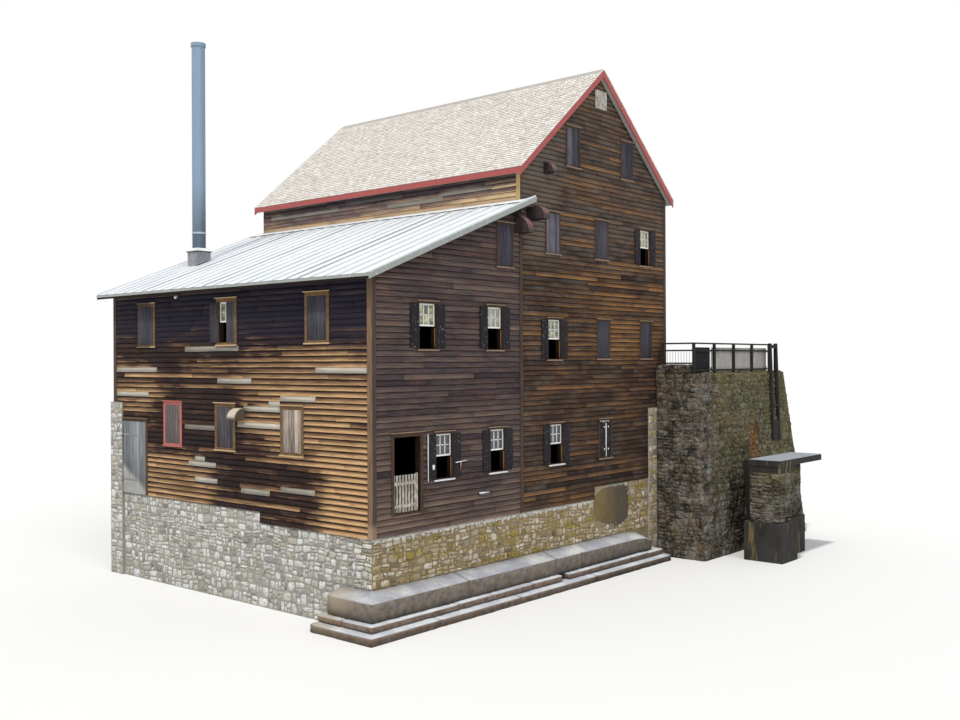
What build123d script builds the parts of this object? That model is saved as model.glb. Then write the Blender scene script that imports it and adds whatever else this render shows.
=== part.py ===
from build123d import *
import math
import os

# A clapboard grist mill: a tall gabled block, a lean-to on its left, and the rubble abutment and sluice
# pier at its right-hand end.
# Millimetres. The origin is the near corner of the walls, at the bottom of the lowest footing.
# +X runs along the front, +Y from the front to the back along the left wall, +Z up.

os.makedirs("parts", exist_ok=True)

# Driving dimensions of the two blocks
lean_width = 6700          # lean-to, along the front
main_width = 9150          # gabled block, along the front
depth = 13400              # both blocks, from front to back
stone_height = 2600        # bottom of the footings to the bottom of the boarding at the near corner
wall_t = 200               # boarded timber wall
stone_t = 600              # rubble wall
stone_inset = 30           # rubble face behind the boarding
seat = 0.3                 # joint between two pieces that rest on each other

# Heights above the bottom of the boarding
lean_wall_height = 7410    # outer wall of the lean-to
lean_pitch = 21.45         # degrees
main_wall_height = 11270   # eaves walls of the gabled block
main_pitch = 40.5          # degrees
left_step_height = 330     # the rubble stands this much higher towards the back of the left wall
left_step_from = 5000
front_step_height = 450    # and this much higher under the last bays of the front
front_step_from = 10900
back_stone_height = 3550
right_stone_height = 3130
right_stone_return = 1320  # the end of the right rubble wall, as it shows on the front
return_depth = 200
return_proud = 50

# Floors: top faces above the bottom of the boarding
ground_floor_top = 300
floor_t = 200
second_floor_top = 4350
third_floor_top = 7750
fourth_floor_top = 10950

# Roofs
main_roof_t = 160
main_overhang_side = 250
main_overhang_end = 200
ridge_gap = 2
lean_deck_t = 140
lean_overhang_side = 450
lean_overhang_end = 380
metal_t = 8
rib_height = 38
rib_width = 30
rib_spacing = 595
trim_t = 35
rake_depth = 200
fascia_depth = 200
lean_trim_depth = 150
lean_eave_depth = 75       # the thin edge along the lean-to's eave
rake_lap = 350             # how far the lean-to roof's front edge runs past the seam of the blocks
lap_gap = 60               # between that lap and the gabled block's boarding

# Windows of the front: clear opening, boarding trim and shutters
window_width = 720
window_height = 1330
casing_width = 65
casing_t = 30
drip_proud = 75
drip_t = 28
sill_proud = 60
sill_t = 45
shutter_t = 26
shutter_gap = 6
shutter_back = 15          # an open shutter's edge from the opening
parted_gap = 90            # between the leaves of the pair that stands ajar
parted_drop = 70           # and how far they hang below its head
sash_t = 35
sash_rail = 48
sash_set_back = 45
glass_t = 5
attic_width = 730
attic_height = 670

# Windows of the left wall
left_window_width = 850
left_window_height = 1300
left_casing_width = 115

# Front doorway with its low picket gate
doorway_left = 850
doorway_width = 1080
doorway_sill = 600
doorway_height = 2190
gate_height = 1070
gate_t = 62
gate_face = 20             # its pickets behind the boarding's face
gate_clearance = 15
gate_lift = 25
picket_count = 8
picket_width = 75
picket_t = 20
gate_rail = 95
gate_rail_t = 22
gate_rail_heights = (140, 785)    # above the gate's foot
gate_post = 45
gate_post_above = 30       # the latch post's top above the pickets
gate_stile_below = 40
gate_latch_gap = 110       # between the latch post's near side and the jamb

# Plank door in the left wall
side_door_setback = 2050   # from the back corner to its near edge
side_door_width = 1450
side_door_height = 2570
side_door_t = 60
side_door_clearance = 12

# Strap hinges: pin, the eye round it, and the strap
side_pin_r = 12
side_eye_r = 22
side_strap_length = 950
side_strap_t = 8
side_strap_height = 70
side_hinge_heights = (450, 2050)     # above the door's sill
gate_pin_r = 5
gate_eye_r = 9
gate_strap_length = 240
gate_strap_t = 4
gate_strap_height = 40
pin_clearance = 0.3

# Inner doorway between the two blocks
inner_door_from = 0.42 * depth
inner_door_width = 1100
inner_door_height = 2100

# Stonework at the foot of the walls
skirt_proud = 550
skirt_top = -1420          # its inner edge, below the boarding
skirt_slope_drop = 190
skirt_bottom = -2130
skirt_return = 1300
skirt_end_gap = 1200       # from its right-hand end to the abutment
slab_upper_proud = 760
slab_upper_t = 220
slab_lower_proud = 1020
slab_return = 1500
slab_end_gap = 700
outlet_from = 8000
outlet_width = 380

# Abutment beside the mill
abutment_lap = 750         # how far it reaches in front of the gabled block
abutment_top_length = 7700
abutment_base_length = 9200
abutment_front = 1750      # how far it stands out in front of the front wall
abutment_batter = 350
abutment_height = 4450     # above the bottom of the boarding
abutment_curb = 300
abutment_curb_width = 700

# Sluice pier
pier_from_abutment = 1500  # from the abutment's left end to the pier's
pier_length = 3000
pier_front = 4400          # its outer face, in front of the front wall
pier_width = 1200
pier_top = 1200
pier_cap_t = 490
pier_cap_length = 3800
pier_cap_slab_t = 240
pier_nose = 500            # how far its worn outer end stands before the long part behind
pier_nose_sides = ((400, -1150), (850, -200), (1000, 710))    # that end's length at three heights
pier_nose_cap = 1350
pier_nose_toe = 1150
pier_toe_top = -1150
pier_toe_proud = 170
sluice_from_pier = 2000
sluice_t = 120
sluice_top = 940

# Railing on the abutment
rail_height = 1180
rail_post = 95
rail_t = 60
rail_inset = 120
rail_length = 6500
rail_bays = 4
board_width = 130
board_gap = 12
board_t = 25
panel_width = 1300

# Head gate on the abutment's face
gate_frame_before = 300    # from the railing's far end back to the head gate's frame
guide_width = 130
guide_spacing = 420
guide_proud = 120
guide_bottom = 1550
guide_top = 5650
guide_tie = 3000
leaf_height = 850

# Smoke stack
stack_x = 2700
stack_from_back = 1300
stack_d = 490
stack_wall = 8
stack_top = 16840
stack_cap_d = 550
stack_cap_height = 130
stack_band_height = 60
stack_band_at = 560        # above its foot
curb_size = 600
curb_height = 440          # to the edge of its cap, at the middle
curb_overhang = 45
curb_edge = 22
curb_rise = 120            # of the cap's slopes

# Dust hoods: place from the seam of the blocks, top height, reach, radius, depth, width
front_hoods = [
    (-348, 9690, 620, 600, 600, 270),
    (290, 10010, 740, 310, 420, 330),
    (1250, 11620, 410, 330, 350, 240),
]
left_hood = (0.428, 3510, 400, 330, 340, 410)    # its place is a share of the depth
hood_t = 12

# Corner boards
corner_width = 150
corner_t = 30

# Windows of the front: place as a share of their block's width, sill height, and whether the
# shutters stand open
lean_windows = [
    (0.440, 1460, True), (0.815, 1460, True),
    (0.337, 5330, True), (0.798, 5330, True),
    (0.878, 8000, False),
]
main_windows = [
    (0.208, 1460, True), (0.535, 1460, False),
    (0.198, 5020, True), (0.525, 5050, False), (0.842, 5050, False),
    (0.192, 8620, False), (0.514, 8620, False), (0.836, 8580, True),
]
parted_window = 6              # in the list of all front windows
gable_windows = (0.325, 0.700)
gable_window_sill = 450        # above the top of the eaves walls
attic_share = 0.515
attic_below_ridge = 1158       # from the underside of the roof at the ridge to its sill
# Windows of the left wall: place as a share of the depth, and sill height
left_places = [
    (0.842, 5590), (0.497, 5590), (0.170, 5590),
    (0.724, 2230), (0.504, 2230), (0.256, 2230),
]
half_open_left = 1             # the one with a shutter folded back
right_shares = (0.254, 0.500, 0.746)
right_sills = (5050, 8620)

# Derived levels and lines
total_width = lean_width + main_width
main_left = lean_width
main_mid = main_left + main_width / 2
abutment_left = total_width - abutment_lap
abutment_top_right = abutment_left + abutment_top_length
abutment_base_right = abutment_left + abutment_base_length
pier_left = abutment_left + pier_from_abutment
sluice_at = pier_left + sluice_from_pier
gate_frame_at = abutment_left + rail_length - gate_frame_before
skirt_length = abutment_left - skirt_end_gap
slab_length = abutment_left - slab_end_gap
stack_y = depth - stack_from_back
side_door_from = depth - side_door_setback
lean_slope = math.tan(math.radians(lean_pitch))
main_slope = math.tan(math.radians(main_pitch))
lean_cos = math.cos(math.radians(lean_pitch))
main_cos = math.cos(math.radians(main_pitch))
side_door_bottom = left_step_height

# Windows as places along their walls
front_windows = [(share * lean_width, sill, is_open) for share, sill, is_open in lean_windows]
front_windows += [(main_left + share * main_width, sill, is_open) for share, sill, is_open in main_windows]
front_windows += [
    (main_left + share * main_width, main_wall_height + gable_window_sill, False) for share in gable_windows
]
attic_x = main_left + attic_share * main_width
attic_sill = main_wall_height + main_slope * main_width / 2 - attic_below_ridge
left_windows = [(share * depth, sill) for share, sill in left_places]
right_windows = [(share * depth, sill) for sill in right_sills for share in right_shares]
back_stone_windows = [(x, sill) for x, sill, _ in front_windows if sill < second_floor_top - window_height]
back_windows = [
    (x, sill)
    for x, sill, _ in front_windows
    if sill > second_floor_top and not (x < main_left and sill > third_floor_top)
]


def up(height):
    """Height above the bottom of the boarding, as Z."""
    return stone_height + height


def lean_under(x):
    """Underside of the lean-to roof above the wall line."""
    return up(lean_wall_height) + lean_slope * x


def main_under(x):
    """Underside of the main roof above a place along the front."""
    return up(main_wall_height) + main_slope * (main_width / 2 - abs(x - main_mid))


def block(x0, x1, y0, y1, z0, z1):
    return Pos((x0 + x1) / 2, (y0 + y1) / 2, (z0 + z1) / 2) * Box(x1 - x0, y1 - y0, z1 - z0)


def front_plate(points, y0, y1):
    """An outline in X and Z, carried from y0 to y1."""
    face = Pos(0, y0, 0) * (Plane.XZ * Polygon(*points, align=None))
    return extrude(face, amount=y1 - y0, dir=(0, 1, 0))


def side_plate(points, x0, x1):
    """An outline in Y and Z, carried from x0 to x1."""
    face = Pos(x0, 0, 0) * (Plane.YZ * Polygon(*points, align=None))
    return extrude(face, amount=x1 - x0, dir=(1, 0, 0))


def plan_plate(points, z0, z1):
    """An outline in X and Y, carried from z0 to z1."""
    return extrude(Pos(0, 0, z0) * Polygon(*points, align=None), amount=z1 - z0, dir=(0, 0, 1))


def save(name, *pieces):
    """One node: its pieces are solids that don't touch."""
    solids = []
    for piece in pieces:
        solids += piece.solids()
    shape = solids[0] if len(solids) == 1 else Compound(children=solids)
    shape.label = name
    export_step(shape, f"parts/{name}.step")


# Openings, as tools to cut with


def front_hole(x, sill, width=window_width, height=window_height, at=0, thick=wall_t):
    return block(x - width / 2, x + width / 2, at - 10, at + thick + 10, up(sill), up(sill + height))


def left_hole(y, sill, width=left_window_width, height=left_window_height, at=0):
    return block(at - 10, at + wall_t + 10, y - width / 2, y + width / 2, up(sill), up(sill + height))


def cut(solid, tools):
    for tool in tools:
        solid = solid - tool
    return solid


# Foundations of rubble


def build_foundations():
    inner = stone_inset + stone_t
    front = block(stone_inset, total_width - right_stone_return - seat, stone_inset, inner, 0, up(-seat))
    front += block(
        front_step_from,
        total_width - right_stone_return - seat,
        stone_inset,
        wall_t,
        up(-seat),
        up(front_step_height - seat),
    )
    save("foundation_front", front)
    back_face = depth + stone_inset - stone_t - seat
    left = block(stone_inset, inner, inner + seat, back_face, 0, up(-seat))
    left += block(stone_inset, wall_t, left_step_from, back_face, up(-seat), up(left_step_height - seat))
    save("foundation_left", left)
    middle = block(main_left - 100, main_left + wall_t + 100, inner + seat, back_face, 0, up(-seat))
    save("foundation_middle", middle)


def build_stone_walls():
    y0 = depth + stone_inset - stone_t
    back = block(-return_proud, total_width, y0, depth + wall_t, 0, up(back_stone_height))
    holes = []
    for x, sill in back_stone_windows:
        holes.append(front_hole(x, sill, at=y0, thick=stone_t + wall_t))
    save("back_stone_wall", cut(back, holes))
    x0 = total_width - stone_t
    right = block(x0, total_width, return_depth, y0 - seat, 0, up(right_stone_height))
    right += block(
        total_width - right_stone_return, total_width, -return_proud, return_depth, 0, up(right_stone_height)
    )
    save("right_stone_wall", right)


# Concrete skirt and stone slabs at the foot of the walls


def build_skirt():
    """The sloped profile follows the front and turns the near corner."""
    top, outer, bottom = up(skirt_top), up(skirt_top - skirt_slope_drop), up(skirt_bottom)
    inner = stone_inset - seat
    front = side_plate(
        [(inner, top), (-skirt_proud, outer), (-skirt_proud, bottom), (inner, bottom)],
        -skirt_proud,
        skirt_length,
    )
    left = front_plate(
        [(inner, top), (-skirt_proud, outer), (-skirt_proud, bottom), (inner, bottom)],
        -skirt_proud,
        skirt_return,
    )
    above = top + 10
    near = (-skirt_proud, -skirt_proud)
    front_plan = [near, (inner, inner), (skirt_length, inner), (skirt_length, -skirt_proud)]
    left_plan = [near, (inner, inner), (inner, skirt_return), (-skirt_proud, skirt_return)]
    front = front & plan_plate(front_plan, bottom, above)
    left = left & plan_plate(left_plan, bottom, above)
    save("concrete_skirt", front + left)


def slab_ring(proud, length, z0, z1):
    inner = stone_inset - seat
    ring = block(-proud, length, -proud, inner, z0, z1)
    return ring + block(-proud, inner, inner, slab_return, z0, z1)


def build_slabs():
    z_top = up(skirt_bottom) - seat
    z_mid = z_top - slab_upper_t
    outlet = block(outlet_from, outlet_from + outlet_width, -slab_upper_proud - 10, 40, z_mid, z_top + 10)
    upper = slab_ring(slab_upper_proud, slab_length, z_mid, z_top) - outlet
    lower = slab_ring(slab_lower_proud, total_width - right_stone_return - seat, 0, z_mid)
    save("footing_slabs", upper + lower)


# Abutment, pier and sluice


def build_abutment():
    base = up(abutment_height)
    foot = Pos(0, 0, 0) * Polygon(
        (abutment_left, -abutment_front - abutment_batter),
        (abutment_base_right, -abutment_front - abutment_batter),
        (abutment_base_right, -return_proud - seat),
        (abutment_left, -return_proud - seat),
        align=None,
    )
    head = Pos(0, 0, base) * Polygon(
        (abutment_left, -abutment_front),
        (abutment_top_right, -abutment_front),
        (abutment_top_right, -return_proud - seat),
        (abutment_left, -return_proud - seat),
        align=None,
    )
    wall = loft([foot.face(), head.face()], ruled=True)
    curb = block(
        abutment_left, abutment_left + abutment_curb_width, -abutment_front + 330, -return_proud - seat,
        base - 1, base + abutment_curb,
    )
    save("abutment_wall", wall + curb)


def pier_part(x0, reach, x1, y0, y1, z0, z1):
    """A long block, with a short one before it that reaches from its left end."""
    long_part = block(x0, x1, y0 + pier_nose, y1, z0, z1)
    return long_part + block(x0, x0 + reach, y0, y0 + pier_nose, z0, z1)


def build_pier():
    """A long pier whose outer end is worn away towards the foot, under a slab that runs on over it."""
    y0, y1 = -pier_front, -pier_front + pier_width
    x1 = pier_left + pier_length
    toe_top = up(pier_toe_top)
    body_top = up(pier_top - pier_cap_t)
    slab_bottom = up(pier_top - pier_cap_slab_t)
    nose = [(pier_left, body_top), (pier_left, toe_top)]
    nose += [(pier_left + reach, up(height)) for reach, height in pier_nose_sides]
    body = block(pier_left, x1, y0 + pier_nose, y1, toe_top, body_top) + front_plate(nose, y0, y0 + pier_nose)
    save("pier_stone", body)
    proud = pier_toe_proud
    toe = pier_part(
        pier_left - proud, pier_nose_toe + proud, x1, y0 - proud, y1 + proud, 0, toe_top - seat
    )
    cap = pier_part(pier_left, pier_nose_cap, x1, y0, y1, body_top + seat, slab_bottom)
    cap += block(pier_left - 25, pier_left + pier_cap_length, y0 - 25, y1 + 25, slab_bottom, up(pier_top))
    save("pier_concrete", toe, cap)


def abutment_face(z):
    """Place of the abutment's front face at a height, in front of the front wall."""
    return -abutment_front - abutment_batter * (1 - z / up(abutment_height))


def build_sluice():
    """Stacked boards between the abutment's sloping face and the pier."""
    x0, x1 = sluice_at, sluice_at + sluice_t
    z0, z1 = 0, up(sluice_top)
    z_toe = up(pier_toe_top)
    y_pier = -pier_front + pier_width + seat
    outline = [
        (y_pier + pier_toe_proud, z0),
        (abutment_face(z0) - seat, z0),
        (abutment_face(z1) - seat, z1),
        (y_pier, z1),
        (y_pier, z_toe),
        (y_pier + pier_toe_proud, z_toe),
    ]
    boards = side_plate(outline, x0, x1)
    save("sluice_boards", boards)


def build_head_gate():
    """Two guide posts with a leaf between them, standing against the abutment."""
    x0 = gate_frame_at
    x1 = x0 + guide_width + guide_spacing
    y_in = -abutment_front - seat
    bottom_face = abutment_face(up(guide_bottom)) - seat
    posts = []
    for x in (x0, x1):
        outline = [
            (bottom_face, up(guide_bottom)),
            (y_in, up(abutment_height)),
            (y_in, up(guide_top)),
            (y_in - guide_proud, up(guide_top)),
            (bottom_face - guide_proud, up(guide_bottom)),
        ]
        posts.append(side_plate(outline, x, x + guide_width))
    y_leaf = bottom_face - guide_proud
    leaf = block(
        x0 + guide_width, x1, y_leaf + 40, y_leaf + 90, up(guide_bottom), up(guide_bottom + leaf_height)
    )
    head = block(x0, x1 + guide_width, y_in - guide_proud, y_in, up(guide_top - 200), up(guide_top - 60))
    y_mid = abutment_face(up(guide_tie)) - seat - guide_proud
    mid = block(x0, x1 + guide_width, y_mid - 40, y_mid + 40, up(guide_tie), up(guide_tie) + 70)
    frame = posts[0] + posts[1] + head + leaf + mid
    save("head_gate", frame)


# Railing on the abutment


def build_railing():
    base = up(abutment_height) + seat
    top = base + rail_height
    y = -abutment_front + rail_inset
    x0 = abutment_left + rail_inset
    long_run = None
    for k in range(rail_bays + 1):
        x = x0 + k * rail_length / rail_bays
        post = block(x, x + rail_post, y, y + rail_post, base, top)
        long_run = post if long_run is None else long_run + post
    for z in (base + 90, top - 330, top - rail_t):
        long_run += block(x0, x0 + rail_length, y + 15, y + rail_post - 15, z, z + rail_t)
    y_far = -return_proud - 120
    ret = block(x0, x0 + rail_post, y_far - rail_post, y_far, base + abutment_curb, top)
    for z in (base + abutment_curb + 60, top - 330, top - rail_t):
        ret += block(x0 + 15, x0 + rail_post - 15, y + rail_post + seat, y_far, z, z + rail_t)
    save("railing", long_run, ret)
    boards = []
    back = y + rail_post + seat
    z0, z1 = base + 40, top - 180
    panel = block(x0 + rail_post, x0 + rail_post + panel_width, back, back + board_t, z0, z1)
    boards.append(panel)
    x = x0 + rail_post + panel_width + 160
    fence = block(x, x0 + rail_length, back + board_t, back + board_t + 40, z0 + 100, z0 + 190)
    fence += block(x, x0 + rail_length, back + board_t, back + board_t + 40, z1 - 190, z1 - 100)
    while x + board_width <= x0 + rail_length:
        fence += block(x, x + board_width, back, back + board_t, z0, z1)
        x += board_width + board_gap
    boards.append(fence)
    save("board_fence", *boards)


# Floors


def build_floors():
    back_stone = depth + stone_inset - stone_t
    z0, z1 = up(0), up(ground_floor_top)
    lean = block(wall_t + seat, main_left - seat, wall_t + seat, back_stone - seat, z0, z1)
    main = block(
        main_left + wall_t + seat, total_width - stone_t - seat, wall_t + seat, back_stone - seat, z0, z1
    )
    save("ground_floor", lean, main)
    slabs = []
    y0, y1 = wall_t + seat, depth - wall_t - seat
    second = up(second_floor_top)
    slabs.append(block(wall_t + seat, main_left - seat, y0, y1, second - floor_t, second))
    for top in (second_floor_top, third_floor_top, fourth_floor_top):
        slabs.append(
            block(
                main_left + wall_t + seat, total_width - wall_t - seat, y0, y1, up(top) - floor_t, up(top)
            )
        )
    save("upper_floors", *slabs)


# Boarded walls


def build_left_wall():
    top = lean_under(0) - seat
    y_door = side_door_from
    over = up(side_door_bottom + side_door_height)
    outline = [
        (wall_t + seat, up(0)),
        (left_step_from - seat, up(0)),
        (left_step_from - seat, up(left_step_height)),
        (y_door, up(left_step_height)),
        (y_door, top),
        (wall_t + seat, top),
    ]
    near = side_plate(outline, 0, wall_t)
    near = cut(near, [left_hole(y, sill) for y, sill in left_windows if y < y_door])
    save("left_wall_near", near)
    y_stone = depth + stone_inset - stone_t - seat
    y_back = depth - wall_t - seat
    ledge = up(back_stone_height) + seat
    high = side_plate(
        [(y_door + seat, over), (y_stone, over), (y_stone, ledge), (y_back, ledge), (y_back, top),
         (y_door + seat, top)],
        0,
        wall_t,
    )
    high = cut(high, [left_hole(y, sill) for y, sill in left_windows])
    save("left_wall_over_door", high)


def build_front_walls():
    x0, x1 = doorway_left, doorway_left + doorway_width
    head = up(doorway_sill + doorway_height)
    storey = up(second_floor_top) - floor_t / 2
    save("front_wall_corner", block(0, x0 - seat, 0, wall_t, up(0), storey))
    below = block(x0, x1, 0, wall_t, up(0), up(doorway_sill))
    over = block(x0, x1, 0, wall_t, head, storey)
    save("front_wall_doorway", below, over)
    tools = [front_hole(x, sill) for x, sill, _ in front_windows]
    right = block(x1 + seat, main_left - seat, 0, wall_t, up(0), storey)
    save("front_wall_lean", cut(right, tools))
    upper = front_plate(
        [
            (0, storey + seat),
            (main_left - seat, storey + seat),
            (main_left - seat, lean_under(main_left) - seat),
            (0, lean_under(0) - seat),
        ],
        0,
        wall_t,
    )
    save("front_wall_upper", cut(upper, tools))
    stone = total_width - right_stone_return - seat
    gable = front_plate(
        [
            (main_left, up(0)),
            (front_step_from - seat, up(0)),
            (front_step_from - seat, up(front_step_height)),
            (stone, up(front_step_height)),
            (stone, up(right_stone_height) + seat),
            (total_width, up(right_stone_height) + seat),
            (total_width, main_under(total_width) - seat),
            (main_mid, main_under(main_mid) - seat),
            (main_left, main_under(main_left) - seat),
        ],
        0,
        wall_t,
    )
    tools.append(front_hole(attic_x, attic_sill, attic_width, attic_height))
    save("front_wall_main", cut(gable, tools))


def build_back_wall():
    y0, y1 = depth - wall_t, depth
    z0 = up(back_stone_height) + seat
    tools = [front_hole(x, sill, at=y0) for x, sill in back_windows]
    tools.append(front_hole(attic_x, attic_sill, attic_width, attic_height, at=y0))
    lean = front_plate(
        [(0, z0), (main_left - seat, z0), (main_left - seat, lean_under(main_left) - seat),
         (0, lean_under(0) - seat)],
        y0,
        y1,
    )
    main = front_plate(
        [
            (main_left, z0),
            (total_width, z0),
            (total_width, main_under(total_width) - seat),
            (main_mid, main_under(main_mid) - seat),
            (main_left, main_under(main_left) - seat),
        ],
        y0,
        y1,
    )
    save("back_wall", cut(lean, tools), cut(main, tools))


def build_side_walls():
    y0, y1 = wall_t + seat, depth - wall_t - seat
    x0, x1 = total_width - wall_t, total_width
    z0 = up(right_stone_height) + seat
    right = front_plate(
        [(x0, z0), (x1, z0), (x1, main_under(x1) - seat), (x0, main_under(x0) - seat)], y0, y1
    )
    back = depth + stone_inset - stone_t - seat
    right -= block(x0 - 10, x1 + 10, back, y1 + 10, z0 - 10, up(back_stone_height) + seat)
    right = cut(right, [left_hole(y, sill, window_width, window_height, at=x0) for y, sill in right_windows])
    save("right_wall", right)
    x0, x1 = main_left, main_left + wall_t
    middle = front_plate(
        [(x0, up(0)), (x1, up(0)), (x1, main_under(x1) - seat), (x0, main_under(x0) - seat)], y0, y1
    )
    middle -= block(x0 - 10, x1 + 10, back, y1 + 10, 0, up(back_stone_height) + seat)
    middle -= block(
        x0 - 10,
        x1 + 10,
        inner_door_from,
        inner_door_from + inner_door_width,
        up(ground_floor_top),
        up(ground_floor_top + inner_door_height),
    )
    save("middle_wall", middle)


# Roofs


def build_main_roof():
    y0, y1 = -main_overhang_end, depth + main_overhang_end
    lift = main_roof_t / main_cos
    x_eave = main_left - main_overhang_side
    x_mid = main_mid - ridge_gap / 2
    left = front_plate(
        [
            (x_eave, main_under(x_eave)),
            (x_mid, main_under(x_mid)),
            (x_mid, main_under(x_mid) + lift),
            (x_eave, main_under(x_eave) + lift),
        ],
        y0,
        y1,
    )
    right = mirror(left, about=Plane(origin=(main_mid, 0, 0), z_dir=(1, 0, 0)))
    save("main_roof", left, right)
    top = main_under(main_mid) + lift
    half = 170
    cap_t = 24
    drop = main_slope * half
    cap = front_plate(
        [
            (main_mid - half, top - drop + seat),
            (main_mid, top + seat),
            (main_mid + half, top - drop + seat),
            (main_mid + half, top - drop + seat + cap_t / main_cos),
            (main_mid, top + seat + cap_t / main_cos),
            (main_mid - half, top - drop + seat + cap_t / main_cos),
        ],
        y0,
        y1,
    )
    save("ridge_cap", cap)


def build_main_trim():
    lift = main_roof_t / main_cos
    x_eave = main_left - main_overhang_side
    drop = rake_depth / main_cos
    boards = []
    for y in (-main_overhang_end - trim_t - seat, depth + main_overhang_end + seat):
        x_mid = main_mid - ridge_gap / 2
        left = front_plate(
            [
                (x_eave - trim_t, main_under(x_eave - trim_t) + lift - drop),
                (x_mid, main_under(x_mid) + lift - drop),
                (x_mid, main_under(x_mid) + lift),
                (x_eave - trim_t, main_under(x_eave - trim_t) + lift),
            ],
            y,
            y + trim_t,
        )
        boards.append(left)
        boards.append(mirror(left, about=Plane(origin=(main_mid, 0, 0), z_dir=(1, 0, 0))))
    save("rake_boards", *boards)
    z1 = main_under(x_eave) + lift
    y0, y1 = -main_overhang_end, depth + main_overhang_end
    fascia = block(x_eave - trim_t - seat, x_eave - seat, y0, y1, z1 - fascia_depth, z1 - 15)
    far = mirror(fascia, about=Plane(origin=(main_mid, 0, 0), z_dir=(1, 0, 0)))
    save("eave_fascias", fascia, far)


def build_lean_roof():
    y0, y1 = -lean_overhang_end, depth + lean_overhang_end
    lift = lean_deck_t / lean_cos
    x0, x1 = -lean_overhang_side, main_left - seat
    deck = front_plate(
        [(x0, lean_under(x0)), (x1, lean_under(x1)), (x1, lean_under(x1) + lift), (x0, lean_under(x0) + lift)],
        y0,
        y1,
    )
    x_lap = main_left + rake_lap
    deck += front_plate(
        [(x1, lean_under(x1)), (x_lap, lean_under(x_lap)), (x_lap, lean_under(x_lap) + lift),
         (x1, lean_under(x1) + lift)],
        y0,
        -lap_gap,
    )
    save("lean_roof_deck", deck)
    upslope = (lean_cos, 0, math.sin(math.radians(lean_pitch)))
    along = Plane(origin=(x0, y0, lean_under(x0) + lift + seat), x_dir=(0, 1, 0), z_dir=upslope)
    length = (x1 - x0) / lean_cos - 30
    span = y1 - y0
    count = round(span / rib_spacing)
    pitch = (span - rib_width) / count
    outline = [(0, 0), (0, metal_t + rib_height)]
    for k in range(count + 1):
        start = k * pitch
        outline += [
            (start, metal_t + rib_height),
            (start + rib_width, metal_t + rib_height),
            (start + rib_width, metal_t),
        ]
        if k < count:
            outline.append((start + pitch, metal_t))
    outline = outline[:-1] + [(span, 0)]
    points = []
    for point in outline:
        if not points or math.dist(point, points[-1]) > 1e-6:
            points.append(point)
    sheet = extrude(along * Polygon(*points, align=None), amount=length, dir=upslope)
    edge = -lap_gap - y0
    rib = metal_t + rib_height
    lap = [(0, 0), (0, rib), (rib_width, rib), (rib_width, metal_t), (edge, metal_t), (edge, 0)]
    sheet += extrude(along * Polygon(*lap, align=None), amount=(x_lap - x0) / lean_cos, dir=upslope)
    save("lean_roof_metal", sheet)
    boards = []
    drop = lean_trim_depth / lean_cos
    for y, x_end in ((y0 - trim_t - seat, x_lap), (y1 + seat, x1)):
        boards.append(
            front_plate(
                [
                    (x0, lean_under(x0) + lift - drop),
                    (x_end, lean_under(x_end) + lift - drop),
                    (x_end, lean_under(x_end) + lift),
                    (x0, lean_under(x0) + lift),
                ],
                y,
                y + trim_t,
            )
        )
    z1 = lean_under(x0) + lift - 10
    boards.append(block(x0 - trim_t - seat, x0 - seat, y0, y1, z1 - lean_eave_depth, z1))
    save("lean_trim", *boards)


# Boards at the corners


def corner_board(x, y, sx, sy, z0, z1):
    """An L of two boards outside a corner; sx and sy point away from the building."""
    w, t = corner_width, corner_t
    a = block(min(x - sx * w, x + sx * t), max(x - sx * w, x + sx * t), min(y, y + sy * t), max(y, y + sy * t),
              z0, z1)
    b = block(min(x, x + sx * t), max(x, x + sx * t), min(y - sy * w, y + sy * t), max(y - sy * w, y + sy * t),
              z0, z1)
    return a + b


def build_corner_boards():
    lean_top = lean_under(-corner_t) - 2
    main_top = main_under(main_left - corner_t) - 2
    boards = [
        corner_board(0, 0, -1, -1, up(0), lean_top),
        corner_board(0, depth, -1, 1, up(back_stone_height) + seat, lean_top),
        corner_board(total_width, 0, 1, -1, up(abutment_height + abutment_curb) + 5, main_top),
        corner_board(total_width, depth, 1, 1, up(back_stone_height) + seat, main_top),
    ]
    seam = block(main_left - 70, main_left + 70, -corner_t, 0, up(0), lean_under(main_left) - 260)
    boards.append(seam)
    seam_top = lean_under(main_left) + lean_deck_t / lean_cos + 60
    boards.append(block(main_left - corner_t, main_left, 0, corner_width, seam_top, main_top))
    save("corner_boards", *boards)


# Trim, shutters and sashes of the windows, each made facing -Y at the origin and then placed


def casing(width, height, board):
    """Side, head and sill boards round an opening whose lower left corner is the origin."""
    t = casing_t
    ring = block(-board, width + board, -t, 0, -board, height + board) - block(
        0, width, -t - 10, 10, 0, height
    )
    ring += block(-board - 40, width + board + 40, -drip_proud, 0, height + board, height + board + drip_t)
    ring += block(-board - 30, width + board + 30, -sill_proud, 0, -board, -board + sill_t)
    return ring


def closed_shutters(width, height, t0):
    """A closed pair, lying in front of t0."""
    leaf = (width - shutter_gap) / 2
    left = block(0, leaf, -t0 - shutter_t, -t0, 0, height)
    right = block(width - leaf, width, -t0 - shutter_t, -t0, 0, height)
    return [left, right]


def face_front(x, sill):
    return Pos(x, 0, up(sill))


def face_left(y, sill):
    """Turned so that what faced -Y faces -X; local x runs towards -Y."""
    return Pos(0, y, up(sill)) * Rot(0, 0, -90)


def face_back(x, sill, at):
    return Pos(x, at, up(sill)) * Rot(0, 0, 180)


def face_right(y, sill):
    return Pos(total_width, y, up(sill)) * Rot(0, 0, 90)


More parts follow.
